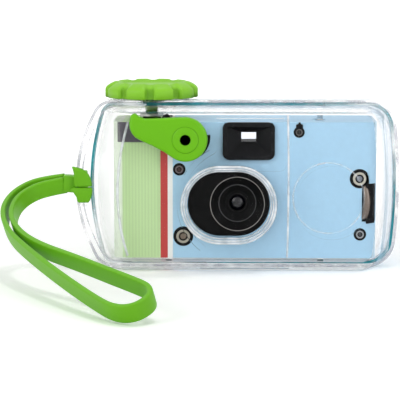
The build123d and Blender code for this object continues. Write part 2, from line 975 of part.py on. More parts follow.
def cover_posts():
    """Round posts of the front cover that show in the holes of the wrap."""
    group = []
    for (x, z), radius in zip(post_places(), post_radii):
        outer = radius - post_gap
        post = peg(x, z, cover_front, camera_front - post_rise, outer)
        bore = outer * post_bore_share
        post -= peg(x, z, cover_front - wrap_thickness, camera_front - post_rise - overrun, bore)
        group.append(post)
    return Compound(children=[solid for post in group for solid in post.solids()])


def grip_panel():
    """Ribbed grip at the left of the front."""
    left = camera_min_x + camera_corner
    right = camera_min_x + grip_width
    body = block(
        (left, camera_front - grip_thickness, camera_bottom + free_gap),
        (right, camera_front, camera_top - patch_height - free_gap),
    )
    pitch = (right - left) / grip_ribs
    for i in range(grip_ribs):
        x = left + pitch * (i + half_share)
        body += block(
            (x - pitch / 4, camera_front - grip_thickness - rib_height, camera_bottom + 2 * free_gap),
            (x + pitch / 4, camera_front - grip_thickness, camera_top - patch_height - 2 * free_gap),
        )
    return body


def corner_patch():
    """Dark textured patch above the grip."""
    left = camera_min_x + camera_corner / 2
    middle = left + patch_width / 2
    outline = panel(middle, camera_top - patch_height / 2, patch_width, patch_height, patch_corner)
    right = camera_min_x + camera_corner
    keep = block(
        (right, camera_front - overrun, 0), (camera_max_x, camera_front + overrun, camera_top)
    )
    return prism(outline, camera_front, camera_front - patch_thickness) & keep


def side_catch():
    """Snap catch at the right of the front cover: a plate with a bowed arm."""
    low = camera_bottom + catch_low
    floor = cover_front + catch_thickness
    plate = block(
        (cover_max_x - catch_width + free_gap, floor - catch_thickness / 2, low + free_gap),
        (cover_max_x - camera_corner, floor, low + catch_tall - free_gap),
    )
    arm_left = camera_max_x - catch_width
    arm = block(
        (arm_left + free_gap, camera_front - catch_thickness / 2, low + free_gap),
        (arm_left + free_gap + catch_arm_width, floor - catch_thickness / 2, low + catch_arm_tall),
    )
    return plate + arm


def lens_surround():
    """Black oval surround with the cone that leads to the lens."""
    back = camera_front
    front = camera_front - surround_reach
    outline = stadium(-surround_spread / 2, lens_height, surround_spread, surround_radius)
    body = prism(outline, back, front)
    body = chamfer(body.edges().group_by(Axis.Y)[0], surround_edge)
    body += peg(0, lens_height, inner_front, back, cone_step_radius - free_gap)
    body -= cone_cut(front, front + cone_step_depth, cone_mouth_radius, cone_step_radius)
    step = front + cone_step_depth
    inner_radius = cone_step_radius - surround_edge
    body -= cone_cut(step, front + cone_throat_depth, inner_radius, cone_throat_radius)
    body -= peg(0, lens_height, lens_back(), front, lens_radius + bore_gap)
    body -= peg(0, lens_height, inner_front + overrun, front, lens_seat_radius)
    return body


def cone_cut(front, back, front_radius, back_radius):
    """Conical space in front of the lens."""
    wide = front_plane(front) * Pos(0, lens_height) * Circle(front_radius)
    narrow = front_plane(back) * Pos(0, lens_height) * Circle(back_radius)
    return loft([wide, narrow], ruled=True)


def throat():
    """Depth of the throat of the cone."""
    return camera_front - surround_reach + cone_throat_depth


def lens_back():
    """Rear face of the lens, on its seat."""
    return throat() + lens_ring_height + lens_thickness


def taking_lens():
    """Small plastic lens with a domed front."""
    back = lens_back()
    body = peg(0, lens_height, back, back - lens_thickness, lens_radius)
    ball_centre = back - lens_thickness - lens_rim + lens_curve_radius
    ball = Pos(0, ball_centre, lens_height) * Sphere(lens_curve_radius)
    cap = peg(0, lens_height, back, back - 2 * lens_thickness, lens_seat_radius) & ball
    return body + cap


def lens_ring():
    """Ring that holds the lens in the throat of the cone."""
    back = lens_back() - lens_thickness
    body = peg(0, lens_height, back, back - lens_ring_height, lens_radius)
    return body - peg(0, lens_height, back + overrun, back - 2 * overrun, lens_seat_radius)


def shutter_plate():
    """Plate in front of the bulkhead that carries the blade."""
    back = bulkhead_front()
    front = back - shutter_plate_thickness
    width = 2 * shutter_plate_half - 2 * free_gap
    outline = panel(0, lens_height + blade_pin_rise / 4, width, gate_height, patch_corner)
    body = prism(outline, back, front)
    body -= peg(0, lens_height, back + overrun, front - overrun, light_bore_radius)
    pin_height = lens_height + blade_pin_rise
    pin_end = front - free_gap / 2 - blade_thickness - spring_wire
    body += peg(blade_pin_x, pin_height, front, pin_end, blade_pin_radius)
    return body


def shutter_blade():
    """Thin blade that covers the lens hole, on its pin."""
    back = bulkhead_front() - shutter_plate_thickness - free_gap / 2
    front = back - blade_thickness
    pin_height = lens_height + blade_pin_rise
    length = hypot(blade_pin_x, blade_pin_rise)
    eye = Circle(blade_width / 3)
    leaf = Pos(length, 0) * Circle(blade_width / 2)
    tail = Pos(length / 2, 0) * Rectangle(length, blade_width / 2)
    turn = -lean_of(-blade_pin_x, blade_pin_rise)
    outline = Pos(blade_pin_x, pin_height) * Rot(0, 0, turn) * (eye + leaf + tail)
    body = prism(outline, back, front)
    hole_radius = blade_pin_radius + bore_gap
    return body - peg(blade_pin_x, pin_height, back + overrun, front - overrun, hole_radius)


def lean_of(across, up):
    """Angle in degrees between a slope and level."""
    return Vector(across, up).get_angle(Vector(1, 0))


def shutter_spring():
    """Wire spring beside the blade."""
    plate_front = bulkhead_front() - shutter_plate_thickness
    x = blade_pin_x + spring_radius
    z = lens_height + blade_pin_rise + blade_width
    post = Circle(spring_radius) - Circle(spring_radius - spring_wire)
    leg = Pos(-spring_radius + spring_wire / 2, -spring_radius) * Rectangle(spring_wire, 2 * spring_radius)
    return prism(Pos(x, z) * (post + leg), plate_front, plate_front - spring_wire)


def button_x():
    """Place of the shutter button, under the finger of the crank."""
    return lever_x - finger_offset


def finger_z():
    """Height of the crank's finger, just above the shutter button."""
    return camera_top + button_rise + free_gap + finger_radius


def shutter_button():
    """Shutter button on top of the film camera."""
    under_cap = camera_top + button_cap_lift
    cap = column(button_x(), button_y, under_cap, camera_top + button_rise, button_radius)
    stem = column(button_x(), button_y, camera_top - button_stem, under_cap, button_stem_radius)
    return cap + stem


def lever_outline():
    """Outline of the lever: a round eye and a tapering paddle with an upturned tip."""
    eye = Circle(lever_eye_radius)
    tip = Pos(-lever_reach + lever_tip_radius, lever_tip_rise) * Circle(lever_tip_radius)
    paddle = make_hull(eye.edges() + tip.edges())
    return Pos(lever_x, lever_height) * (paddle + eye)


def shutter_lever():
    """Green shutter lever on the front of the housing."""
    back = front_face - axle_boss_rise - lever_stand_off
    front = back - lever_thickness
    body = prism(lever_outline(), back, front)
    body = fillet(body.edges().group_by(Axis.Y)[0], lever_edge)
    body += peg(lever_x, lever_height, back - lever_thickness / 2, front - lever_hub_rise, lever_hub_radius)
    return body - peg(lever_x, lever_height, back + overrun, front - 2 * overrun, axle_radius)


def axle_back():
    """Inner end of the lever's axle."""
    return camera_front - crank_back_gap


def lever_axle():
    """Axle of the lever, through the front of the housing."""
    front = front_face - axle_boss_rise - lever_stand_off - lever_thickness
    return peg(lever_x, lever_height, axle_back(), front, axle_radius)


def lever_crank():
    """Crank on the inner end of the axle, with a finger over the shutter button."""
    back = axle_back()
    front = back - crank_thickness
    hub = peg(lever_x, lever_height, back, front, crank_hub_radius)
    run = hypot(finger_offset, finger_z() - lever_height)
    lean = lean_of(-finger_offset, finger_z() - lever_height)
    arm = Rot(0, 0, lean) * (Pos(run / 2, 0) * Rectangle(run, crank_arm_width))
    tip = Pos(-finger_offset, finger_z() - lever_height) * Circle(crank_arm_width / 2)
    body = hub + prism(Pos(lever_x, lever_height) * arm, back, front)
    low_tip = Pos(lever_x, lever_height) * tip
    body += prism(low_tip, back, front)
    body += peg(button_x(), finger_z(), front + finger_length, front, finger_radius)
    return body - peg(lever_x, lever_height, back + overrun, front - overrun, axle_radius)


def lever_spring():
    """Flat coil spring round the axle, with two legs, that brings the lever back."""
    back = front_face + wall + spring_wire
    coil = Circle(lever_spring_radius) - Circle(lever_spring_radius - spring_wire)
    leg = Pos(-lever_spring_radius / 2, spring_wire / 2 - lever_spring_radius) * Rectangle(
        lever_spring_radius, spring_wire
    )
    legs = leg + mirror(leg, about=Plane.YZ)
    return prism(Pos(lever_x, lever_height) * (coil + legs), back, front_face + wall)


def knob_o_ring():
    """Rubber ring that seals the knob's stem."""
    middle = turret_top - gland_depth + ring_section / 2
    return Pos(knob_x, 0, middle) * Torus(stem_radius + bore_gap + ring_section / 2, ring_section / 2)


def axle_o_ring():
    """Rubber ring that seals the lever's axle."""
    middle = front_face - axle_boss_rise + axle_gland_depth - ring_section / 2
    ring = Torus(axle_radius + bore_gap + ring_section / 2, ring_section / 2)
    return Pos(lever_x, middle, lever_height) * Rot(90, 0, 0) * ring


def ratchet_pawl():
    """Springy pawl of the front cover that lets the wheel turn one way."""
    z = ratchet_bottom() + (ratchet_thickness - pawl_height) / 2
    x = knob_x + ratchet_radius
    post = block(
        (x + free_gap, inner_front, z),
        (x + free_gap + 2 * pawl_thickness, inner_front + pawl_reach / 2, z + pawl_height),
    )
    arm = block(
        (x + free_gap, inner_front + pawl_reach / 2, z),
        (x + free_gap + pawl_thickness, inner_front + pawl_reach, z + pawl_height),
    )
    return post + arm


def finder_eye_x():
    """Place of the finder's hole and of the eyepiece."""
    return finder_x


def finder_eye_z():
    """Height of the finder's hole and of the eyepiece."""
    return finder_height + finder_hole_rise


def viewfinder_frame():
    """Black frame round the viewfinder, stepped down to its small opening."""
    front = camera_front - finder_proud
    back = cover_front + finder_depth
    bezel = panel(finder_x, finder_height, finder_width, finder_tall, finder_corner)
    neck = panel(
        finder_x,
        finder_height,
        finder_neck_width - 2 * bore_gap,
        finder_neck_tall - 2 * bore_gap,
        finder_neck_corner,
    )
    body = prism(bezel, cover_front, front) + prism(neck, back, cover_front)
    wide = front_plane(front) * Pos(finder_x, finder_height) * Rectangle(
        finder_width - 2 * finder_proud, finder_tall - 2 * finder_proud
    )
    narrow = front_plane(back - finder_lens_thickness) * Pos(finder_eye_x(), finder_eye_z()) * Rectangle(
        finder_hole_width, finder_hole_tall
    )
    body -= loft([wide, narrow], ruled=True)
    return body - prism(
        Pos(finder_eye_x(), finder_eye_z()) * Rectangle(finder_hole_width, finder_hole_tall),
        back + overrun,
        back - 2 * finder_lens_thickness,
    )


def viewfinder_lens():
    """Small clear lens in the opening of the finder."""
    back = cover_front + finder_depth
    outline = Pos(finder_eye_x(), finder_eye_z()) * Rectangle(finder_hole_width, finder_hole_tall)
    return prism(outline, back, back - finder_lens_thickness)


def eyepiece_lens():
    """Clear eyepiece in the rear cover."""
    outline = Pos(finder_eye_x(), finder_eye_z()) * Rectangle(eyepiece_width, eyepiece_tall)
    return prism(outline, cover_rear, cover_rear - eyepiece_thickness)


def strap_hitch():
    """The strap's own loop, drawn tight round the bar of the rim: two turns side by side."""
    bar_left = -case_left - rim_left
    bar_right = bar_left + strap_bar_width
    front = seam - front_rim_thickness - strap_fit
    back = seam + rear_rim_thickness + strap_fit
    middle_x = (bar_left + bar_right) / 2
    middle_y = (front + back) / 2
    inner_wide = bar_right - bar_left + 2 * strap_fit
    inner_deep = back - front
    turn_outer = Pos(middle_x, middle_y) * RectangleRounded(
        inner_wide + 2 * strap_thickness, inner_deep + 2 * strap_thickness, strap_thickness
    )
    turn_inner = Pos(middle_x, middle_y) * RectangleRounded(inner_wide, inner_deep, strap_fit)
    bottom = strap_height - slot_height / 2 + strap_fit
    turn_width = (slot_height - 3 * strap_fit) / 2
    body = None
    for i in range(2):
        low = bottom + i * (turn_width + strap_fit)
        turn = extrude(Plane.XY.offset(low) * (turn_outer - turn_inner), amount=turn_width)
        body = turn if body is None else body + turn
    knot_left = bar_left - strap_fit - 2 * strap_thickness
    knot = block(
        (knot_left, middle_y - strand_spread() / 2 - strap_thickness, strap_height - strap_width / 2),
        (
            bar_left - strap_fit,
            middle_y + strand_spread() / 2 + strap_thickness,
            strap_height + strap_width / 2,
        ),
    )
    return body + knot


def strand_spread():
    """Distance between the two strands where they leave the hitch."""
    return strap_thickness + 2 * strap_fit + 2 * bore_gap + strap_thickness / 4


# The strap's route seen from above, from the hitch round the loop and back to the hitch.
# The loop lies in a tilted plane, so each point's height follows from the two slopes.
strap_start_x = -case_left - rim_left - strap_fit - 2 * strap_thickness
strap_middle_y = seam + (rear_rim_thickness - front_rim_thickness) / 2
strap_exit_height = strap_height + strap_exit_rise
strap_points = [
    (-72.0, -3.2),
    (-80.2, -2.8),
    (-86.6, -9.6),
    (-88.4, -22.5),
    (-83.9, -40.4),
    (-74.3, -59.6),
    (-60.4, -84.4),
    (-48.0, -105.0),
    (-40.2, -116.6),
    (-33.4, -119.6),
    (-28.0, -115.4),
    (-28.2, -108.8),
    (-34.6, -100.6),
    (-44.4, -88.8),
    (-56.8, -73.6),
    (-70.0, -58.4),
    (-79.0, -44.2),
    (-84.6, -28.0),
    (-84.0, -14.4),
    (-78.6, -7.8),
    (-72.2, -7.0),
]


def strap_route():
    """Points of the strap's middle line, in space."""
    ends = [
        (strap_start_x + strap_tuck, strap_middle_y + strand_spread() / 2),
        (strap_start_x + strap_tuck, strap_middle_y - strand_spread() / 2),
    ]
    route = [ends[0]] + strap_points + [ends[1]]
    return [
        Vector(
            x,
            y,
            strap_exit_height + strap_slope_x * (x - strap_start_x) + strap_slope_y * (y - strap_middle_y),
        )
        for x, y in route
    ]


def strap_plane():
    """Tilted plane that the strap's loop lies in."""
    normal = Vector(-strap_slope_x, -strap_slope_y, 1).normalized()
    along = Vector(1, 0, strap_slope_x).normalized()
    return Plane(origin=(strap_start_x, strap_middle_y, strap_exit_height), x_dir=along, z_dir=normal)


def bend_radii(points):
    """Radius at each corner of a route, as large as its two runs allow."""
    radii = []
    for before, here, after in zip(points, points[1:], points[2:]):
        arriving = here - before
        leaving = after - here
        turn = arriving.get_angle(leaving)
        shorter = min(arriving.length, leaving.length)
        radii.append(arc_share * shorter / tan(radians(turn) / 2))
    return radii


def wrist_strap():
    """Flat wrist strap: a band that stands on edge along its looped route."""
    plane = strap_plane()
    flat = [plane.to_local_coords(point) for point in strap_route()]
    flat = [Vector(point.X, point.Y) for point in flat]
    radii = bend_radii(flat)
    path = FilletPolyline(*flat, radius=radii)
    ribbon = plane * trace(path, strap_thickness)
    band = extrude(ribbon, amount=strap_width / 2, both=True)
    band -= block(
        (strap_start_x, strap_middle_y - strap_width, strap_height - strap_width),
        (strap_start_x + 2 * strap_tuck, strap_middle_y + strap_width, strap_height + 2 * strap_width),
    )
    length = path.length - 2 * strap_tuck
    print("strap length", round(length, 1), "radii", [round(r, 1) for r in radii])
    print("strap volume", round(band.volume), "by its section", round(length * strap_width * strap_thickness))
    print("strap lowest point", round(band.bounding_box().min.Z, 2))
    return band


pieces = {
    "front_case": front_case,
    "rear_case": rear_case,
    "case_gasket": case_gasket,
    "winding_knob": winding_knob,
    "knob_o_ring": knob_o_ring,
    "stem_clip": stem_clip,
    "drive_dog": drive_dog,
    "ratchet_wheel": ratchet_wheel,
    "ratchet_pawl": ratchet_pawl,
    "cartridge_spool": cartridge_spool,
    "film_cartridge": film_cartridge,
    "film_strip": film_strip,
    "supply_reel": supply_reel,
    "film_sprocket": film_sprocket,
    "counter_disc": counter_disc,
    "shutter_lever": shutter_lever,
    "lever_axle": lever_axle,
    "axle_o_ring": axle_o_ring,
    "lever_crank": lever_crank,
    "lever_spring": lever_spring,
    "shutter_button": shutter_button,
    "cam_front_cover": cam_front_cover,
    "cam_rear_cover": cam_rear_cover,
    "cam_frame": cam_frame,
    "wrap_label": wrap_label,
    "grip_panel": grip_panel,
    "corner_patch": corner_patch,
    "cover_posts": cover_posts,
    "side_catch": side_catch,
    "lens_surround": lens_surround,
    "taking_lens": taking_lens,
    "lens_ring": lens_ring,
    "shutter_plate": shutter_plate,
    "shutter_blade": shutter_blade,
    "shutter_spring": shutter_spring,
    "viewfinder_frame": viewfinder_frame,
    "viewfinder_lens": viewfinder_lens,
    "eyepiece_lens": eyepiece_lens,
    "strap_hitch": strap_hitch,
    "wrist_strap": wrist_strap,
}

os.makedirs("parts", exist_ok=True)
for name, make in pieces.items():
    export_step(make(), f"parts/{name}.step")
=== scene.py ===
import math

import bmesh
import bpy
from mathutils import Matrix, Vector, geometry


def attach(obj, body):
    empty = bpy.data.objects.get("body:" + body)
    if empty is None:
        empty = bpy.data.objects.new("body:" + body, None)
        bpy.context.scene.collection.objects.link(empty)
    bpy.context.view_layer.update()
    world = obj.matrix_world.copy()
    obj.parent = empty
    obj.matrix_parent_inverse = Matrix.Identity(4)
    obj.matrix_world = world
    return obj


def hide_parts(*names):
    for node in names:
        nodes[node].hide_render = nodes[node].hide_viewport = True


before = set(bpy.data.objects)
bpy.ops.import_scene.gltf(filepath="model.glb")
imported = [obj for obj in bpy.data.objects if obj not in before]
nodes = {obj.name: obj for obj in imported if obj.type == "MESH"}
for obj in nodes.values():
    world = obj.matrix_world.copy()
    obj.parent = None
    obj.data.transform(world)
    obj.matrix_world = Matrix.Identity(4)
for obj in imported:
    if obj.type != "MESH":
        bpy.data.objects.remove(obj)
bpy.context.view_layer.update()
scene = bpy.context.scene

# The viewer looks at the part from a little above, from about seven part lengths away,
# as a product photographer does to keep the housing's edges nearly parallel.
look_down, look_left = 7.97, 1.07
view = bpy.data.cameras.new("view")
view.lens = 158.2
view.clip_end = 20
viewer = bpy.data.objects.new("viewer", view)
viewer.location = (-0.00183, -0.67725, 0.11952)
viewer.rotation_euler = (math.radians(90 - look_down), 0, math.radians(look_left))
scene.collection.objects.link(viewer)
scene.camera = viewer

# Wrist strap: a moulded band of soft green plastic. It stands on edge, leaves the hitch at the rim,
# bends forward and folds back at the front, where it lies on the table.
strap_width = 0.0065
strap_thickness = 0.002
strap_girth = 0.017
strap_sides = 24
face_squareness, edge_squareness = 0.35, 0.22
strap_start = Vector((-0.0662, -0.0064, 0.0320))
strap_slope = Vector((0.25, 0.317))
strap_route = [
    (-0.0662, -0.0049), (-0.0720, -0.0032), (-0.0802, -0.0028), (-0.0866, -0.0096),
    (-0.0884, -0.0225), (-0.0839, -0.0404), (-0.0743, -0.0596), (-0.0604, -0.0844),
    (-0.0480, -0.1050), (-0.0402, -0.1166), (-0.0334, -0.1196), (-0.0280, -0.1154),
    (-0.0282, -0.1088), (-0.0346, -0.1006), (-0.0444, -0.0888), (-0.0568, -0.0736),
    (-0.0700, -0.0584), (-0.0790, -0.0442), (-0.0846, -0.0280), (-0.0840, -0.0144),
    (-0.0786, -0.0078), (-0.0722, -0.0070), (-0.0662, -0.0079),
]
strap_line = bpy.data.curves.new("strap_line", "CURVE")
strap_line.dimensions = "3D"
strap_line.resolution_u = 10
strap_spline = strap_line.splines.new("NURBS")
strap_spline.points.add(len(strap_route) - 1)
for point, (x, y) in zip(strap_spline.points, strap_route):
    rise = strap_slope.x * (x - strap_start.x) + strap_slope.y * (y - strap_start.y)
    point.co = (x, y, strap_start.z + rise, 1)
strap_spline.order_u = 3
strap_spline.use_endpoint_u = True
strap_line_object = bpy.data.objects.new("strap_line", strap_line)
strap_middle = [v.co.copy() for v in bpy.data.meshes.new_from_object(strap_line_object).vertices]
bpy.data.objects.remove(strap_line_object)

# The band's section is a flat oblong with rounded edges, drawn along the middle line.
strap_up = Vector((-strap_slope.x, -strap_slope.y, 1)).normalized()
strap_section = []
for i in range(strap_sides):
    turn = 2 * math.pi * i / strap_sides
    across, upward = math.cos(turn), math.sin(turn)
    strap_section.append((
        math.copysign(abs(across) ** face_squareness, across) * strap_thickness / 2,
        math.copysign(abs(upward) ** edge_squareness, upward) * strap_width / 2,
    ))
strap_mesh = bmesh.new()
strap_uv = strap_mesh.loops.layers.uv.new("along")
rings = []
travelled = 0
for i, place in enumerate(strap_middle):
    before = strap_middle[max(i - 1, 0)]
    after = strap_middle[min(i + 1, len(strap_middle) - 1)]
    travelled += (place - before).length
    side = strap_up.cross((after - before).normalized()).normalized()
    ring = [strap_mesh.verts.new(place + side * s + strap_up * w) for s, w in strap_section]
    rings.append((travelled, ring))
for (start, low), (end, high) in zip(rings, rings[1:]):
    for j in range(strap_sides):
        k = (j + 1) % strap_sides
        face = strap_mesh.faces.new((low[j], low[k], high[k], high[j]))
        for loop, u, v in zip(face.loops, (start, start, end, end), (j, j + 1, j + 1, j)):
            loop[strap_uv].uv = (u, v / strap_sides * strap_girth)
strap_mesh.faces.new(reversed(rings[0][1]))
strap_mesh.faces.new(rings[-1][1])
bmesh.ops.recalc_face_normals(strap_mesh, faces=strap_mesh.faces)
strap_data = bpy.data.meshes.new("strap_band")
strap_mesh.to_mesh(strap_data)
strap_band = bpy.data.objects.new("strap_band", strap_data)
scene.collection.objects.link(strap_band)
strap_data.shade_smooth()
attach(strap_band, "housing")
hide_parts("wrist_strap")


def speckle(tree, scale, detail=2):
    """Soft random cloud on the piece's own coordinates, for mottle, grain and wear."""
    place = tree.nodes.get("Texture Coordinate") or tree.nodes.new("ShaderNodeTexCoord")
    cloud = tree.nodes.new("ShaderNodeTexNoise")
    cloud.inputs["Scale"].default_value = scale
    cloud.inputs["Detail"].default_value = detail
    tree.links.new(place.outputs["Object"], cloud.inputs["Vector"])
    return cloud.outputs["Fac"]


def spread(tree, value, low, high, start=0, end=1):
    """Value that runs from start to end, spread to run from low to high."""
    span = tree.nodes.new("ShaderNodeMapRange")
    for socket, level in (("From Min", start), ("From Max", end), ("To Min", low), ("To Max", high)):
        span.inputs[socket].default_value = level
    tree.links.new(value, span.inputs["Value"])
    return span.outputs["Result"]


def new_finish(name):
    """Empty finish with its tree of nodes and its surface."""
    material = bpy.data.materials.new(name)
    material.use_nodes = True
    return material, material.node_tree, material.node_tree.nodes["Principled BSDF"]


def moulded(name, colour, roughness, grain=900, depth=0.00004, mottle=0.06, specular=0.5, metallic=0):
    """Material coloured through, with a faint mottle from the mould and a fine grain on its skin."""
    material, tree, surface = new_finish(name)
    surface.inputs["Specular IOR Level"].default_value = specular
    surface.inputs["Metallic"].default_value = metallic
    cloud = speckle(tree, scale=60, detail=3)
    tone = tree.nodes.new("ShaderNodeMix")
    tone.data_type = "RGBA"
    tone.inputs["A"].default_value = [c * (1 - mottle) for c in colour] + [1]
    tone.inputs["B"].default_value = [min(1, c * (1 + mottle)) for c in colour] + [1]
    tree.links.new(cloud, tone.inputs["Factor"])
    tree.links.new(tone.outputs["Result"], surface.inputs["Base Color"])
    gloss = spread(tree, cloud, low=roughness - 0.06, high=roughness + 0.08)
    tree.links.new(gloss, surface.inputs["Roughness"])
    bump = tree.nodes.new("ShaderNodeBump")
    bump.inputs["Strength"].default_value = 0.6
    bump.inputs["Distance"].default_value = depth
    tree.links.new(speckle(tree, scale=grain), bump.inputs["Height"])
    tree.links.new(bump.outputs["Normal"], surface.inputs["Normal"])
    return material


strap_green = moulded(
    "strap_green", (0.150, 0.47, 0.006), 0.46, grain=700, depth=0.00005, mottle=0.10, specular=0.3
)
strap_data.materials.append(strap_green)

# Hitch of the strap: the same soft green band, its loop drawn tight round the bar of the rim.
# It shows as two flaps, one above the other, which flare out at the left where the two strands
# come from between them. Each part has its outline, the depth of its back and front, and its rounding.
hitch_parts = []


def plate(name, outline, back, front, rounding, steps=3):
    """Flat piece cut to an outline as seen from the front, with rounded edges."""
    bpy.ops.object.select_all(action="DESELECT")
    bpy.ops.mesh.primitive_circle_add(vertices=len(outline), fill_type="NGON", calc_uvs=False)
    piece = bpy.context.object
    piece.name = piece.data.name = name
    for corner, (x, z) in zip(piece.data.vertices, outline):
        corner.co = (x, back, z)
    bpy.ops.object.mode_set(mode="EDIT")
    bpy.ops.mesh.extrude_region_move(TRANSFORM_OT_translate={"value": (0, front - back, 0)})
    bpy.ops.mesh.select_all(action="SELECT")
    bpy.ops.mesh.normals_make_consistent(inside=False)
    bpy.ops.object.mode_set(mode="OBJECT")
    edge = piece.modifiers.new("edge", "BEVEL")
    edge.width = rounding
    edge.segments = steps
    edge.limit_method = "ANGLE"
    edge.angle_limit = math.radians(50)
    edge.use_clamp_overlap = True
    bpy.ops.object.modifier_apply(modifier="edge")
    piece.data.shade_smooth()
    return piece


for name, outline, back, front, rounding in (
    ("hitch_upper", [
        (-0.0634, 0.0391), (-0.0598, 0.0383), (-0.0582, 0.0374), (-0.0569, 0.0360), (-0.0561, 0.0343),
        (-0.0557, 0.0326), (-0.0556, 0.0312), (-0.0624, 0.0312), (-0.0626, 0.0336), (-0.0625, 0.0360),
        (-0.0629, 0.0378),
    ], -0.0096, -0.0118, 0.0007),
    ("hitch_lower", [
        (-0.0642, 0.0301), (-0.0628, 0.0309), (-0.0556, 0.0310), (-0.0555, 0.0296), (-0.0558, 0.0276),
        (-0.0564, 0.0259), (-0.0571, 0.0251), (-0.0611, 0.0250), (-0.0617, 0.0273), (-0.0630, 0.0292),
    ], -0.0096, -0.0118, 0.0007),
    ("hitch_back", [
        (-0.0622, 0.0255), (-0.0578, 0.0255), (-0.0578, 0.0365), (-0.0622, 0.0365),
    ], -0.0012, -0.0032, 0.0007),
    ("hitch_slot", [
        (-0.0598, 0.0257), (-0.0578, 0.0257), (-0.0578, 0.0363), (-0.0598, 0.0363),
    ], -0.0030, -0.0100, 0.0003),
    ("hitch_knot", [
        (-0.0668, 0.0289), (-0.0618, 0.0286), (-0.0618, 0.0350), (-0.0668, 0.0352),
    ], -0.0036, -0.0092, 0.0004),
):
    hitch_parts.append(plate(name, outline, back, front, rounding))
bpy.ops.object.select_all(action="DESELECT")
for part in hitch_parts:
    part.select_set(True)
bpy.context.view_layer.objects.active = hitch_parts[0]
bpy.ops.object.join()
hitch = bpy.context.object
hitch.name = hitch.data.name = "hitch"
hitch.data.materials.append(strap_green)
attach(hitch, "housing")
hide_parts("strap_hitch")

# Winding knob: hard green plastic, moulded in one piece with its stem, which a spring clip keeps in
# the rear case. Ten lobes between flat finger grooves let a wet hand turn it. The rim dips at each
# groove, the top is dished, and the stem below runs down through the clear turret.
knob_x = -0.0331
knob_radius = 0.018
knob_lobes = 10
knob_sides = 400
groove_depth = 0.0024
groove_half, groove_edge = 5.0, 0.9
rim_dip = 0.0010
dip_half, dip_edge = 2.0, 8.0
same_place = 0.000001
# From the stem's end to the middle of the top: share of the radius, height, and share of the dip.
knob_profile = (
    (0.0, 0.0571, 0), (0.139, 0.0571, 0), (0.139, 0.0670, 0), (0.80, 0.0670, 0), (0.80, 0.0651, 0),
    (0.97, 0.0650, 0), (0.995, 0.0652, 0), (0.995, 0.0678, 0), (0.990, 0.0684, 0.1), (0.980, 0.0688, 0.3),
    (0.955, 0.0693, 0.8), (0.910, 0.0699, 1), (0.860, 0.0704, 1), (0.81, 0.0708, 0.9), (0.76, 0.0710, 0.6),
    (0.72, 0.0709, 0.3), (0.69, 0.0706, 0), (0.66, 0.0700, 0), (0.0, 0.0698, 0),
)


def toned(tree, colour, tone):
    """Colour made darker or lighter by a tone around 1, as the surface's colour."""
    product = tree.nodes.new("ShaderNodeVectorMath")
    product.operation = "SCALE"
    tree.links.new(colour, product.inputs[0])
    tree.links.new(tone, product.inputs["Scale"])
    tree.links.new(product.outputs["Vector"], tree.nodes["Principled BSDF"].inputs["Base Color"])
    return product.outputs["Vector"]


def hard_green(name, colour, roughness):
    """Hard green plastic with painted shade in its grooves, darker where less light gets in."""
    material = moulded(name, colour, roughness, mottle=0.05, specular=0.25)
    tree = material.node_tree
    # Painted shade: ambient occlusion darkens the colour in the grooves.
    groove_shade_occlusion = tree.nodes.new("ShaderNodeAmbientOcclusion")
    groove_shade_occlusion.inputs["Distance"].default_value = 0.003
    shade = spread(tree, groove_shade_occlusion.outputs["AO"], low=0.45, high=1.06, start=0.45, end=0.95)
    toned(tree, tree.nodes["Mix"].outputs["Result"], shade)
    return material


def cut(degrees, half, edge):
    """1 across the middle of a groove, falling smoothly to 0 across its edge."""
    level = 1 - min(1, max(0, (degrees - half) / edge))
    return level * level * (3 - 2 * level)


knob_green = hard_green("knob_green", (0.255, 0.60, 0.032), 0.40)
# The blank has one ring for each step of the profile. Then its rings are drawn in and the lobes cut.
bpy.ops.object.select_all(action="DESELECT")
bpy.ops.mesh.primitive_circle_add(vertices=knob_sides, radius=knob_radius, calc_uvs=False)
knob = bpy.context.object
knob.name = knob.data.name = "knob"
bpy.ops.object.mode_set(mode="EDIT")
for i in range(len(knob_profile) - 1):
    bpy.ops.mesh.extrude_region_move(TRANSFORM_OT_translate={"value": (0, 0, knob_radius)})
bpy.ops.object.mode_set(mode="OBJECT")
for vertex in knob.data.vertices:
    share_out, height, dip = knob_profile[vertex.index // knob_sides]
    turn = math.atan2(vertex.co.x, -vertex.co.y)
    from_groove = abs((turn / (2 * math.pi) * knob_lobes + 0.5) % 1 - 0.5) * 360 / knob_lobes
    reach = knob_radius * share_out
    groove_floor = (knob_radius - groove_depth) / math.cos(math.radians(from_groove))
    reach -= max(0, reach - groove_floor) * cut(from_groove, groove_half, groove_edge)
    down = rim_dip * dip * cut(from_groove, dip_half, dip_edge)
    vertex.co = (knob_x + reach * math.sin(turn), -reach * math.cos(turn), height - down)
bpy.ops.object.mode_set(mode="EDIT")
bpy.ops.mesh.select_all(action="SELECT")
bpy.ops.mesh.remove_doubles(threshold=same_place)
bpy.ops.mesh.normals_make_consistent(inside=False)
bpy.ops.object.mode_set(mode="OBJECT")
knob.data.materials.append(knob_green)
knob.data.shade_smooth()
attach(knob, "winder")
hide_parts("winding_knob")

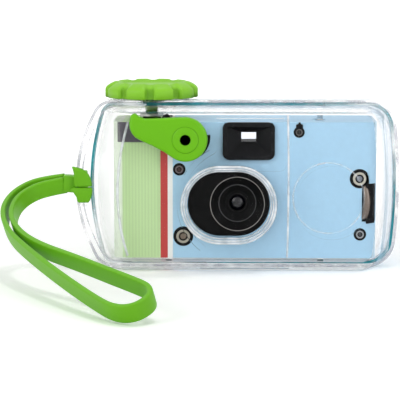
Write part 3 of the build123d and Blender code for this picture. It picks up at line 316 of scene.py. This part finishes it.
# Shutter lever: the same hard green plastic, pressed on the axle that passes the front case.
# It is a tapering paddle with an upturned toe and a round eye with a low raised hub.
lever_green = hard_green("lever_green", (0.150, 0.50, 0.003), 0.36)
lever_x, lever_z = -0.0195, 0.0508
eye_radius = 0.0083
eye_rise = 0.0001
toe = [
    (-0.0020, 0.0084), (-0.0090, 0.0080), (-0.0150, 0.0078), (-0.0170, 0.0084), (-0.0186, 0.0097),
    (-0.0197, 0.0098), (-0.0205, 0.0088), (-0.0209, 0.0062), (-0.0207, 0.0041), (-0.0199, 0.0023),
    (-0.0186, 0.0008), (-0.0166, -0.0003), (-0.0120, -0.0024), (-0.0080, -0.0045), (-0.0048, -0.0067),
]
eye = []
for degrees in range(-122, 99, 5):
    turn = math.radians(degrees)
    eye.append((eye_radius * math.cos(turn), eye_radius * math.sin(turn) + eye_rise))
lever_outline = [(lever_x + x, lever_z + z) for x, z in toe + eye]
lever = plate("lever", lever_outline, back=-0.0217, front=-0.0263, rounding=0.0011, steps=4)
lever.data.materials.append(lever_green)
lever.data.set_sharp_from_angle(angle=math.radians(35))
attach(lever, "lever")
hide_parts("shutter_lever")


def turned(name, x, z, profile, material, sides=48, rider="housing"):
    """Ring or cap turned about a line that points at the viewer. The profile lists depth and radius."""
    bpy.ops.object.select_all(action="DESELECT")
    bpy.ops.mesh.primitive_circle_add(vertices=len(profile), calc_uvs=False)
    ring = bpy.context.object
    ring.name = ring.data.name = name
    for corner, (depth, radius) in zip(ring.data.vertices, profile):
        corner.co = (x + radius, depth, z)
    bpy.ops.object.mode_set(mode="EDIT")
    bpy.ops.mesh.spin(
        steps=sides, angle=2 * math.pi, center=(x, 0, z), axis=(0, 1, 0), use_auto_merge=True
    )
    bpy.ops.mesh.select_all(action="SELECT")
    bpy.ops.mesh.normals_make_consistent(inside=False)
    bpy.ops.object.mode_set(mode="OBJECT")
    ring.data.materials.append(material)
    ring.data.shade_smooth()
    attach(ring, rider)
    return ring


turned("lever_hub", lever_x, lever_z, [
    (-0.0262, 0.0052), (-0.0265, 0.0047), (-0.0266, 0.0044), (-0.0266, 0.0023), (-0.0265, 0.00205),
    (-0.0262, 0.00200),
], lever_green, sides=72, rider="lever")

# Housing: two shells of clear hard plastic, injection moulded and closed round a gasket. A wall
# seen at a slant bends the light more, and the mould leaves a faint ripple. The shells touch in one
# plane, where the two clear faces don't show.
seam_depth = -0.007
seam_reach = 0.00003


def dress(names, material):
    """Gives a finish to pieces that keep the shape they have in the CAD."""
    for name in names:
        nodes[name].data.materials.clear()
        nodes[name].data.materials.append(material)


clear, tree, glass = new_finish("clear_shell")
glass.inputs["Base Color"].default_value = (0.975, 0.985, 1.0, 1)
glass.inputs["Transmission Weight"].default_value = 1
glass.inputs["IOR"].default_value = 1.45
glass.inputs["Roughness"].default_value = 0.02
slant = tree.nodes.new("ShaderNodeLayerWeight")
slant.inputs["Blend"].default_value = 0.35
tree.links.new(spread(tree, slant.outputs["Facing"], low=0.0, high=0.95), glass.inputs["Alpha"])
ripple = tree.nodes.new("ShaderNodeBump")
ripple.inputs["Distance"].default_value = 0.0001
ripple.inputs["Strength"].default_value = 0.25
tree.links.new(speckle(tree, scale=45), ripple.inputs["Height"])
tree.links.new(ripple.outputs["Normal"], glass.inputs["Normal"])
through = tree.nodes.new("ShaderNodeBsdfTransparent")
through.inputs["Color"].default_value = (0.93, 0.95, 0.97, 1)
rays = tree.nodes.new("ShaderNodeLightPath")
shell = tree.nodes.new("ShaderNodeMixShader")
tree.links.new(rays.outputs["Is Shadow Ray"], shell.inputs["Fac"])
tree.links.new(glass.outputs["BSDF"], shell.inputs[1])
tree.links.new(through.outputs["BSDF"], shell.inputs[2])
axes = tree.nodes.new("ShaderNodeSeparateXYZ")
tree.links.new(tree.nodes["Texture Coordinate"].outputs["Object"], axes.inputs["Vector"])
in_seam = tree.nodes.new("ShaderNodeMath")
in_seam.operation = "COMPARE"
in_seam.inputs[1].default_value = seam_depth
in_seam.inputs[2].default_value = seam_reach
tree.links.new(axes.outputs["Y"], in_seam.inputs[0])
joined = tree.nodes.new("ShaderNodeBsdfTransparent")
weld = tree.nodes.new("ShaderNodeMixShader")
tree.links.new(in_seam.outputs["Value"], weld.inputs["Fac"])
tree.links.new(shell.outputs["Shader"], weld.inputs[1])
tree.links.new(joined.outputs["BSDF"], weld.inputs[2])
tree.links.new(weld.outputs["Shader"], tree.nodes["Material Output"].inputs["Surface"])
dress(["front_case", "rear_case"], clear)

# Steps and ridges of the front case, moulded in one piece with it. Each edge is rounded, and a soft
# white line of painted highlight lies on it over the camera inside, where the clear plastic bends the
# light.
before_case = -0.06
ridge_rise = 0.00012
# Across a ridge: share of half its width, and share of its rise.
ridge_section = ((-1, 0), (-0.6, 0.8), (0, 1), (0.6, 0.8), (1, 0), (0, -0.3))


def painted_edge_highlight(name, colour, faintest, strongest):
    """Painted highlight on a rounded edge of the clear plastic, uneven in strength along its length."""
    material, tree, highlight_surface = new_finish(name)
    highlight_surface.inputs["Base Color"].default_value = (*colour, 1)
    highlight_surface.inputs["Roughness"].default_value = 0.25
    streaks = speckle(tree, scale=160, detail=3)
    highlight_alpha = spread(tree, streaks, low=faintest, high=strongest, start=0.35, end=0.68)
    tree.links.new(highlight_alpha, highlight_surface.inputs["Alpha"])
    return material


edge_highlight_white = painted_edge_highlight("painted_edge_highlight", (0.93, 0.96, 1.0), faintest=0.32, strongest=0.95)
edge_highlight_faint = painted_edge_highlight("painted_edge_highlight_faint", (0.93, 0.96, 1.0), faintest=0.06, strongest=0.30)
edge_reflection_lilac = painted_edge_highlight("rim_painted_reflection", (0.60, 0.61, 0.68), faintest=0.05, strongest=0.60)


def edge_line(name, places, width, material=edge_highlight_white, depth=None):
    """Low rounded ridge along a line as seen from the front, in painted highlight unless given another
    material. It lies on the case, or at a given depth.
    """
    closed = places[0] == places[-1]
    last = len(places) - 1
    bpy.ops.object.select_all(action="DESELECT")
    bpy.ops.mesh.primitive_grid_add(
        x_subdivisions=len(ridge_section), y_subdivisions=last, size=1, calc_uvs=False
    )
    ridge = bpy.context.object
    ridge.name = ridge.data.name = name
    corners = iter(ridge.data.vertices)
    for i, (x, z) in enumerate(places):
        before = places[i - 1] if i else places[-2 if closed else 0]
        after = places[i + 1] if i < last else places[1 if closed else last]
        way = Vector((after[0] - before[0], after[1] - before[1])).normalized()
        skin = depth
        if depth is None:
            skin = nodes["front_case"].ray_cast((x, before_case, z), (0, 1, 0))[1].y
        for share, rise in ridge_section + ridge_section[:1]:
            out = width / 2 * share
            next(corners).co = (x - way.y * out, skin - ridge_rise * rise, z + way.x * out)
    bpy.ops.object.mode_set(mode="EDIT")
    bpy.ops.mesh.select_all(action="SELECT")
    bpy.ops.mesh.remove_doubles(threshold=same_place)
    bpy.ops.mesh.fill_holes(sides=0)
    bpy.ops.mesh.select_all(action="SELECT")
    bpy.ops.mesh.normals_make_consistent(inside=False)
    bpy.ops.object.mode_set(mode="OBJECT")
    ridge.data.materials.append(material)
    ridge.data.shade_smooth()
    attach(ridge, "housing")


oval_sides = 96


def oval(radius, left, right, z):
    """Round-ended oval as a closed list of places. A circle has left and right the same."""
    places = []
    for i in range(oval_sides):
        turn = 2 * math.pi * i / oval_sides
        x = (right if math.cos(turn) >= 0 else left) + radius * math.cos(turn)
        places.append((x, z + radius * math.sin(turn)))
    return places + places[:1]


# Edges of the oval lens port: its rounded shoulder, the top of its wall and the wall's foot.
port_left, port_right, port_z = -0.0065, 0.0, 0.0263
# Each of these edges is a line of painted highlight.
for name, radius, width, depth in (
    ("port_shoulder", 0.01445, 0.0009, -0.02602),
    ("port_wall", 0.01355, 0.0007, -0.02602),
    ("port_foot", 0.01275, 0.0006, -0.02502),
):
    edge_line(name, oval(radius, port_left, port_right, port_z), width, depth=depth)

# Ridge down the right of the middle field, bowed a little. Its heights are in millimetres.
ridge_x, ridge_bow = 0.0188, 0.0004
ridge_middle, ridge_half = 33, 28
ridge_places = []
for height in range(6, 61, 3):
    bow = ridge_bow * (1 - ((height - ridge_middle) / ridge_half) ** 2)
    ridge_places.append((ridge_x + bow, height / 1000))
edge_line("middle_ridge", ridge_places, width=0.0008)

# Edge of the raised front, over the grip.
edge_line("front_edge", [
    (-0.0412, 0.0570), (-0.0425, 0.0520), (-0.0438, 0.0460), (-0.0447, 0.0400), (-0.0452, 0.0340),
    (-0.0453, 0.0280), (-0.0449, 0.0220), (-0.0441, 0.0160), (-0.0430, 0.0110), (-0.0416, 0.0060),
], width=0.0010)

# Embossed circle at the right, moulded into the front as the place for a label.
label_x, label_z, label_radius = 0.0344, 0.0283, 0.0134
label_places = oval(label_radius, label_x, label_x, label_z)
# The circle's edge shows as a faint painted highlight.
edge_line("label_circle", label_places, width=0.0007, material=edge_highlight_faint)

# Outer edge of the rim, and the line of the wall behind it. Both follow the rim's own outline,
# drawn in by a part of their inset where they pass above, below or beside the middle.
rim_front, rim_flatness, rim_lift = -0.0094, 0.0003, 0.00002
middle_x, middle_z = 0.0025, 0.0322
near_middle_x, near_middle_z = 0.05, 0.025
flat = [v.co for v in nodes["front_case"].data.vertices if abs(v.co.y - rim_front) < rim_flatness]
hull = geometry.convex_hull_2d([Vector((v.x, v.z)) for v in flat])
# Both lines are painted lilac reflection in the rim.
for name, inset, width in (("rim_outside", 0.0006, 0.0011), ("rim_inside", 0.0024, 0.0006)):
    places = []
    for i in hull:
        x, z = flat[i].x, flat[i].z
        right, up = x - middle_x, z - middle_z
        inward = math.copysign(min(inset, abs(right)), right) * min(1, abs(right) / near_middle_x)
        downward = math.copysign(min(inset, abs(up)), up) * min(1, abs(up) / near_middle_z)
        places.append((x - inward, z - downward))
    edge_line(name, places + places[:1], width, material=edge_reflection_lilac, depth=rim_front - rim_lift)

# Gasket and O-rings: silicone rubber, teal in the seam and green on the knob's stem. The gasket is
# squeezed between the shells, so it bears on them all round. Where it wets the plastic its colour
# shows through the rim, and where it doesn't the line fades.
squeeze = 0.00006
gasket_place = 0.000002
teal = moulded("teal_rubber", (0.01, 0.30, 0.36), 0.5, mottle=0.08)
tree = teal.node_tree
contact = spread(tree, speckle(tree, scale=30), low=0.15, high=1.0, start=0.38, end=0.60)
tree.links.new(contact, tree.nodes["Principled BSDF"].inputs["Alpha"])
dress(["axle_o_ring"], teal)
dress(["knob_o_ring"], strap_green)
gasket = bpy.data.objects.new("gasket", nodes["case_gasket"].data.copy())
gasket.data.name = "gasket"
scene.collection.objects.link(gasket)
bpy.ops.object.select_all(action="DESELECT")
bpy.context.view_layer.objects.active = gasket
gasket.select_set(True)
bpy.ops.object.mode_set(mode="EDIT")
bpy.ops.mesh.select_all(action="SELECT")
bpy.ops.mesh.remove_doubles(threshold=gasket_place)
bpy.ops.mesh.normals_make_consistent(inside=False)
bpy.ops.transform.shrink_fatten(value=squeeze)
bpy.ops.object.mode_set(mode="OBJECT")
gasket.data.materials.clear()
gasket.data.materials.append(teal)
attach(gasket, "housing")
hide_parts("case_gasket")

# Printed wrap: a sheet of plastic film with a satin skin, glued round the film camera. From the left
# it is printed pale green, light green, red, white and light blue, and dark under the corner patch.
wrap_left, wrap_right = -0.0472, 0.0528
light_green = (0.64, 0.83, 0.46)
corner_dark = (0.085, 0.075, 0.095)
# Where each colour begins, as a share of the wrap's length, and the colour.
wrap_colours = (
    (0.0, (0.80, 0.88, 0.72)), (0.034, light_green), (0.176, (0.55, 0.045, 0.045)),
    (0.207, (0.92, 0.90, 0.88)), (0.225, (0.41, 0.65, 0.84)),
)
wrap, tree, ink = new_finish("printed_wrap")
ink.inputs["Roughness"].default_value = 0.45
print_grain = speckle(tree, scale=500)
axes = tree.nodes.new("ShaderNodeSeparateXYZ")
tree.links.new(tree.nodes["Texture Coordinate"].outputs["Object"], axes.inputs["Vector"])
bands = tree.nodes.new("ShaderNodeValToRGB")
bands.color_ramp.interpolation = "CONSTANT"
bands.color_ramp.elements.remove(bands.color_ramp.elements[1])
for start, colour in wrap_colours[1:]:
    bands.color_ramp.elements.new(start).color = (*colour, 1)
bands.color_ramp.elements[0].color = (*wrap_colours[0][1], 1)
along = spread(tree, axes.outputs["X"], low=0, high=1, start=wrap_left, end=wrap_right)
tree.links.new(along, bands.inputs["Fac"])
printed = toned(tree, bands.outputs["Color"], spread(tree, print_grain, low=0.96, high=1.04))
in_corner = []
for axis, operation, limit in (
    ("X", "LESS_THAN", -0.0436), ("Z", "GREATER_THAN", 0.0489), ("Y", "LESS_THAN", -0.0145),
):
    side_of = tree.nodes.new("ShaderNodeMath")
    side_of.operation = operation
    side_of.inputs[1].default_value = limit
    tree.links.new(axes.outputs[axis], side_of.inputs[0])
    in_corner.append(side_of.outputs["Value"])
corner = tree.nodes.new("ShaderNodeMix")
corner.data_type = "RGBA"
corner.inputs["B"].default_value = (*corner_dark, 1)
all_sides = in_corner[0]
for side_of in in_corner[1:]:
    both = tree.nodes.new("ShaderNodeMath")
    both.operation = "MULTIPLY"
    tree.links.new(all_sides, both.inputs[0])
    tree.links.new(side_of, both.inputs[1])
    all_sides = both.outputs["Value"]
tree.links.new(all_sides, corner.inputs["Factor"])
tree.links.new(printed, corner.inputs["A"])
tree.links.new(corner.outputs["Result"], ink.inputs["Base Color"])
dress(["wrap_label"], wrap)

# Grip and corner patch, glued over the wrap's left end. The grip is a soft rubber sheet with fine
# upright ribs, with stripes of painted shade for their valleys. The patch is dark plastic with a coarse
# grain.
grip_green = moulded("grip_green", light_green, 0.5, mottle=0.03)
tree = grip_green.node_tree
# Painted shade: upright wave stripes darken the grip's colour for the rib valleys.
ribs = tree.nodes.new("ShaderNodeTexWave")
ribs.bands_direction = "X"
ribs.inputs["Scale"].default_value = 260
ribs.inputs["Distortion"].default_value = 0
tree.links.new(tree.nodes["Texture Coordinate"].outputs["Object"], ribs.inputs["Vector"])
painted_valley_shade = spread(tree, ribs.outputs["Fac"], low=0.93, high=1.03)
toned(tree, tree.nodes["Mix"].outputs["Result"], painted_valley_shade)
dress(["grip_panel"], grip_green)
patch_dark = moulded("patch_dark", corner_dark, 0.6, grain=1500, depth=0.0001, mottle=0.3)
dress(["corner_patch"], patch_dark)

# Film camera: its covers, inner frame, viewfinder frame and small working pieces are black plastic
# with a dull, finely sparked skin, snapped together round the film.
black = moulded("black_plastic", (0.005, 0.005, 0.006), 0.55, grain=1400, mottle=0.2, specular=0.18)
dress([
    "cam_front_cover", "cam_rear_cover", "cam_frame", "lever_axle", "lever_crank", "viewfinder_frame",
    "shutter_plate", "shutter_blade", "drive_dog", "ratchet_wheel", "ratchet_pawl", "cover_posts",
], black)
nodes["viewfinder_frame"].data.shade_smooth()

# Posts of the front cover: moulded plastic, each seen as a ring with a pin in a dark hole of the
# wrap. The rings are painted highlights on the tops of the posts, two of them cream, the others grey
# or brown. Each has its x and z, its radius, and the colours of its ring and its pin.
for i, (x, z, radius, ring_highlight_colour, pin_colour) in enumerate((
    (-0.0221, 0.03851, 0.0019, (0.17, 0.13, 0.13), (0.055, 0.022, 0.018)),
    (-0.0206, 0.01282, 0.0033, (0.42, 0.38, 0.31), (0.20, 0.15, 0.11)),
    (0.0233, 0.05270, 0.0016, (0.13, 0.12, 0.11), (0.03, 0.03, 0.03)),
    (0.0463, 0.03508, 0.0032, (0.55, 0.52, 0.44), (0.22, 0.24, 0.28)),
    (0.0467, 0.01370, 0.0019, (0.36, 0.36, 0.37), (0.05, 0.05, 0.055)),
)):
    # The light ring on each post's top is a painted highlight.
    turned(f"post_cap_{i}", x, z, [
        (-0.01538, radius * 0.80), (-0.01552, radius * 0.76), (-0.01552, radius * 0.54),
        (-0.01538, radius * 0.50),
    ], moulded(f"post_ring_highlight_{i}", ring_highlight_colour, 0.45, mottle=0.25))
    turned(f"post_tip_{i}", x, z, [
        (-0.01500, radius * 0.34), (-0.01524, radius * 0.34), (-0.01530, radius * 0.24),
        (-0.01530, 0.00002), (-0.01500, 0.00002),
    ], moulded(f"post_pin_{i}", pin_colour, 0.4, mottle=0.2))

# Lens surround: an oval cup of black plastic whose cone steps down to the lens, which a ring holds.
# A thin lip runs round the mouth of the cone, light grey as a painted highlight, and the inner step is a
# little lighter.
cup = moulded(
    "surround_black", (0.0030, 0.0030, 0.0032), 0.5, grain=1400, depth=0.000003, mottle=0.15, specular=0.08
)
dress(["lens_surround", "lens_ring"], cup)
nodes["lens_surround"].data.shade_smooth()
lens_x, lens_z = port_right, port_z
# The lip's light grey is a painted highlight on the rim of the cone.
turned("cone_lip", lens_x, lens_z, [
    (-0.02215, 0.01032), (-0.02228, 0.01028), (-0.02228, 0.01010), (-0.02205, 0.01004),
], moulded("lip_painted_highlight", (0.30, 0.28, 0.26), 0.35, mottle=0.1), sides=96)
turned("cone_step", lens_x, lens_z, [
    (-0.01975, 0.00720), (-0.01986, 0.00720), (-0.01986, 0.00680), (-0.01975, 0.00680),
], moulded("step_grey", (0.030, 0.030, 0.032), 0.5, mottle=0.1), sides=72)

# Works inside: spool, sprocket, counter and button of grey plastic, the cartridge's grey painted
# shell, the film's dark base, and a clip and two springs bent from bright steel.
grey = moulded("grey_plastic", (0.09, 0.09, 0.10), 0.4, mottle=0.15)
dress(["cartridge_spool", "film_sprocket", "counter_disc", "shutter_button", "film_cartridge"], grey)
film = moulded("film_base", (0.07, 0.045, 0.035), 0.25, mottle=0.15)
dress(["film_strip", "supply_reel"], film)
steel = moulded("spring_steel", (0.45, 0.44, 0.43), 0.3, mottle=0.1, metallic=1)
dress(["stem_clip", "lever_spring", "shutter_spring"], steel)

# Snap catch: a bowed leaf of dark steel that hangs from the black hook beside the upper post
# and holds the covers together in the recess at the right. Its foot is black.
leaf_steel = moulded("leaf_steel", (0.20, 0.165, 0.14), 0.30, mottle=0.35, metallic=1)
leaf_top, leaf_length, leaf_depth = 0.0326, 0.0130, -0.0147
leaf_thickness = 0.00035
leaf_bow, leaf_crown = 0.0011, 0.0003
# Each edge: where it starts, how far it bows to the right, and how far it has moved at the foot.
left_edge, left_bow, left_foot = 0.0479, 0.0004, -0.0007
right_edge, right_bow, right_foot = 0.0491, 0.0011, 0.0001
bpy.ops.object.select_all(action="DESELECT")
bpy.ops.mesh.primitive_grid_add(x_subdivisions=6, y_subdivisions=24, size=1, calc_uvs=False)
leaf = bpy.context.object
leaf.name = leaf.data.name = "catch_leaf"
for vertex in leaf.data.vertices:
    across, down = vertex.co.x + 0.5, 0.5 - vertex.co.y
    bow = math.sin(math.pi * down)
    left = left_edge + left_bow * bow + left_foot * down
    right = right_edge + right_bow * bow + right_foot * down
    vertex.co = (
        left + (right - left) * across,
        leaf_depth - leaf_bow * bow - leaf_crown * math.sin(math.pi * across),
        leaf_top - leaf_length * down,
    )
sheet_metal = leaf.modifiers.new("thickness", "SOLIDIFY")
sheet_metal.thickness = leaf_thickness
sheet_metal.offset = 0
bpy.ops.object.modifier_apply(modifier="thickness")
leaf.data.materials.append(leaf_steel)
leaf.data.shade_smooth()
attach(leaf, "housing")
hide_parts("side_catch")

# Hook and foot of the catch, the notch in the wrap above one post, and the black lining of the
# shutter opening, which shows as a crescent beside the lever's eye. All are black plastic.
lining_outer, lining_inner, lining_shift = 0.0090, 0.0072, 0.0002
lining_start, lining_sweep, lining_steps = -52, 58, 16
lining_turns = [
    math.radians(lining_start + lining_sweep * i / lining_steps) for i in range(lining_steps + 1)
]
lining = []
for turn in lining_turns:
    lining.append((
        lever_x + lining_shift + lining_outer * math.cos(turn), lever_z + lining_outer * math.sin(turn)
    ))
for turn in reversed(lining_turns):
    lining.append((lever_x + lining_inner * math.cos(turn), lever_z + lining_inner * math.sin(turn)))
for name, outline, back, front, rounding in (
    ("catch_hook", [
        (0.0487, 0.0376), (0.0496, 0.0362), (0.0499, 0.0345), (0.0499, 0.0312), (0.0488, 0.0316),
        (0.0484, 0.0336), (0.0488, 0.0350), (0.0487, 0.0362),
    ], -0.0150, -0.0154, 0.0001),
    ("catch_foot", [
        (0.0484, 0.0198), (0.0521, 0.0202), (0.0521, 0.0183), (0.0490, 0.0178),
    ], -0.0150, -0.0154, 0.0001),
    ("cover_notch", [
        (0.0221, 0.0541), (0.0247, 0.0541), (0.0247, 0.0556), (0.0239, 0.0559), (0.0238, 0.0565),
        (0.0231, 0.0565), (0.0230, 0.0559), (0.0221, 0.0556),
    ], -0.0150, -0.0154, 0.0001),
    ("shutter_lining", lining, -0.01502, -0.0153, 0.00008),
):
    small = plate(name, outline, back, front, rounding)
    small.data.materials.append(black)
    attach(small, "housing")

# Taking lens: a small moulded lens with a coated front, held by the lens ring, with the dark
# shutter right behind it, so it looks black and shows only the lamps.
coated = moulded("coated_lens", (0.003, 0.003, 0.006), 0.08, mottle=0.1, depth=0.000002, specular=0.1)
lens_surface = coated.node_tree.nodes["Principled BSDF"]
lens_surface.inputs["Coat Weight"].default_value = 1
lens_surface.inputs["Coat IOR"].default_value = 1.45
lens_radius, lens_curve = 0.0033, 0.0042
lens_front, lens_back = -0.0183, -0.0166
lens_bore = 0.000005
lens_steps = 14
lens_profile = []
for i in range(lens_steps + 1):
    out = lens_radius * (1 - i / lens_steps)
    depth = lens_front + lens_curve - math.sqrt(lens_curve ** 2 - out ** 2)
    lens_profile.append((depth, max(out, lens_bore)))
lens_profile += [(lens_back, lens_bore), (lens_back, lens_radius)]
lens = turned("lens_glass", lens_x, lens_z, lens_profile, coated, sides=64)
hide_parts("taking_lens")

# Viewfinder lens and eyepiece: clear plastic windows, moulded and polished, set in the opening of
# the finder and in the rear cover.
window, tree, pane = new_finish("clear_window")
pane.inputs["Base Color"].default_value = (0.95, 0.97, 1, 1)
pane.inputs["Transmission Weight"].default_value = 1
pane.inputs["Roughness"].default_value = 0.01
dress(["viewfinder_lens", "eyepiece_lens"], window)

# Studio: the part stands on white paper that grows a little brighter away from it, under an even
# white tent, with a lamp above for the strap's soft shadow and a box at each side.
bpy.ops.mesh.primitive_plane_add(size=24, location=(0, 0, 0))
floor = bpy.context.object
floor.name = "floor"


def looked_at(tree):
    """1 where the eye, a window or a gloss looks at the backdrop, 0 where it only gives light."""
    rays = tree.nodes.new("ShaderNodeLightPath")
    seen = rays.outputs["Is Camera Ray"]
    for kind in ("Is Transmission Ray", "Is Glossy Ray"):
        either = tree.nodes.new("ShaderNodeMath")
        either.operation = "MAXIMUM"
        tree.links.new(seen, either.inputs[0])
        tree.links.new(rays.outputs[kind], either.inputs[1])
        seen = either.outputs["Value"]
    return seen


paper, tree, gloss = new_finish("white_paper")
tree.nodes.remove(gloss)
sheet = tree.nodes.new("ShaderNodeBsdfDiffuse")
where = tree.nodes.new("ShaderNodeTexCoord")
away = tree.nodes.new("ShaderNodeVectorMath")
away.operation = "LENGTH"
tree.links.new(where.outputs["Object"], away.inputs[0])
paper_tone = tree.nodes.new("ShaderNodeMix")
paper_tone.data_type = "RGBA"
paper_tone.inputs["A"].default_value = (0.80, 0.80, 0.80, 1)
far_tone = spread(tree, away.outputs["Value"], low=1.24, high=1.7, start=0.15, end=0.8)
tree.links.new(far_tone, paper_tone.inputs["B"])
tree.links.new(looked_at(tree), paper_tone.inputs["Factor"])
tree.links.new(paper_tone.outputs["Result"], sheet.inputs["Color"])
tree.links.new(sheet.outputs["BSDF"], tree.nodes["Material Output"].inputs["Surface"])
floor.data.materials.append(paper)

world = bpy.data.worlds.new("studio")
scene.world = world
world.use_nodes = True
tree = world.node_tree
air = tree.nodes["Background"]
air.inputs["Color"].default_value = (1, 1, 1, 1)
tree.links.new(spread(tree, looked_at(tree), low=0.62, high=1.0), air.inputs["Strength"])

above = bpy.data.lights.new("above", "SUN")
above.energy = 0.40
above.angle = math.radians(9)
above_holder = bpy.data.objects.new("above", above)
above_holder.rotation_euler = (math.radians(-6), math.radians(7), 0)
scene.collection.objects.link(above_holder)
aim = Vector((0, 0, 0.03))
for name, place, size, power in (
    ("left_box", (-0.75, -0.75, 0.45), 0.6, 3.2),
    ("right_box", (0.72, -0.70, 0.34), 0.6, 2.0),
):
    light = bpy.data.lights.new(name, "AREA")
    light.size = size
    light.energy = power
    holder = bpy.data.objects.new(name, light)
    holder.location = place
    holder.rotation_euler = (aim - Vector(place)).to_track_quat("-Z", "Y").to_euler()
    scene.collection.objects.link(holder)

scene.view_settings.view_transform = "Standard"
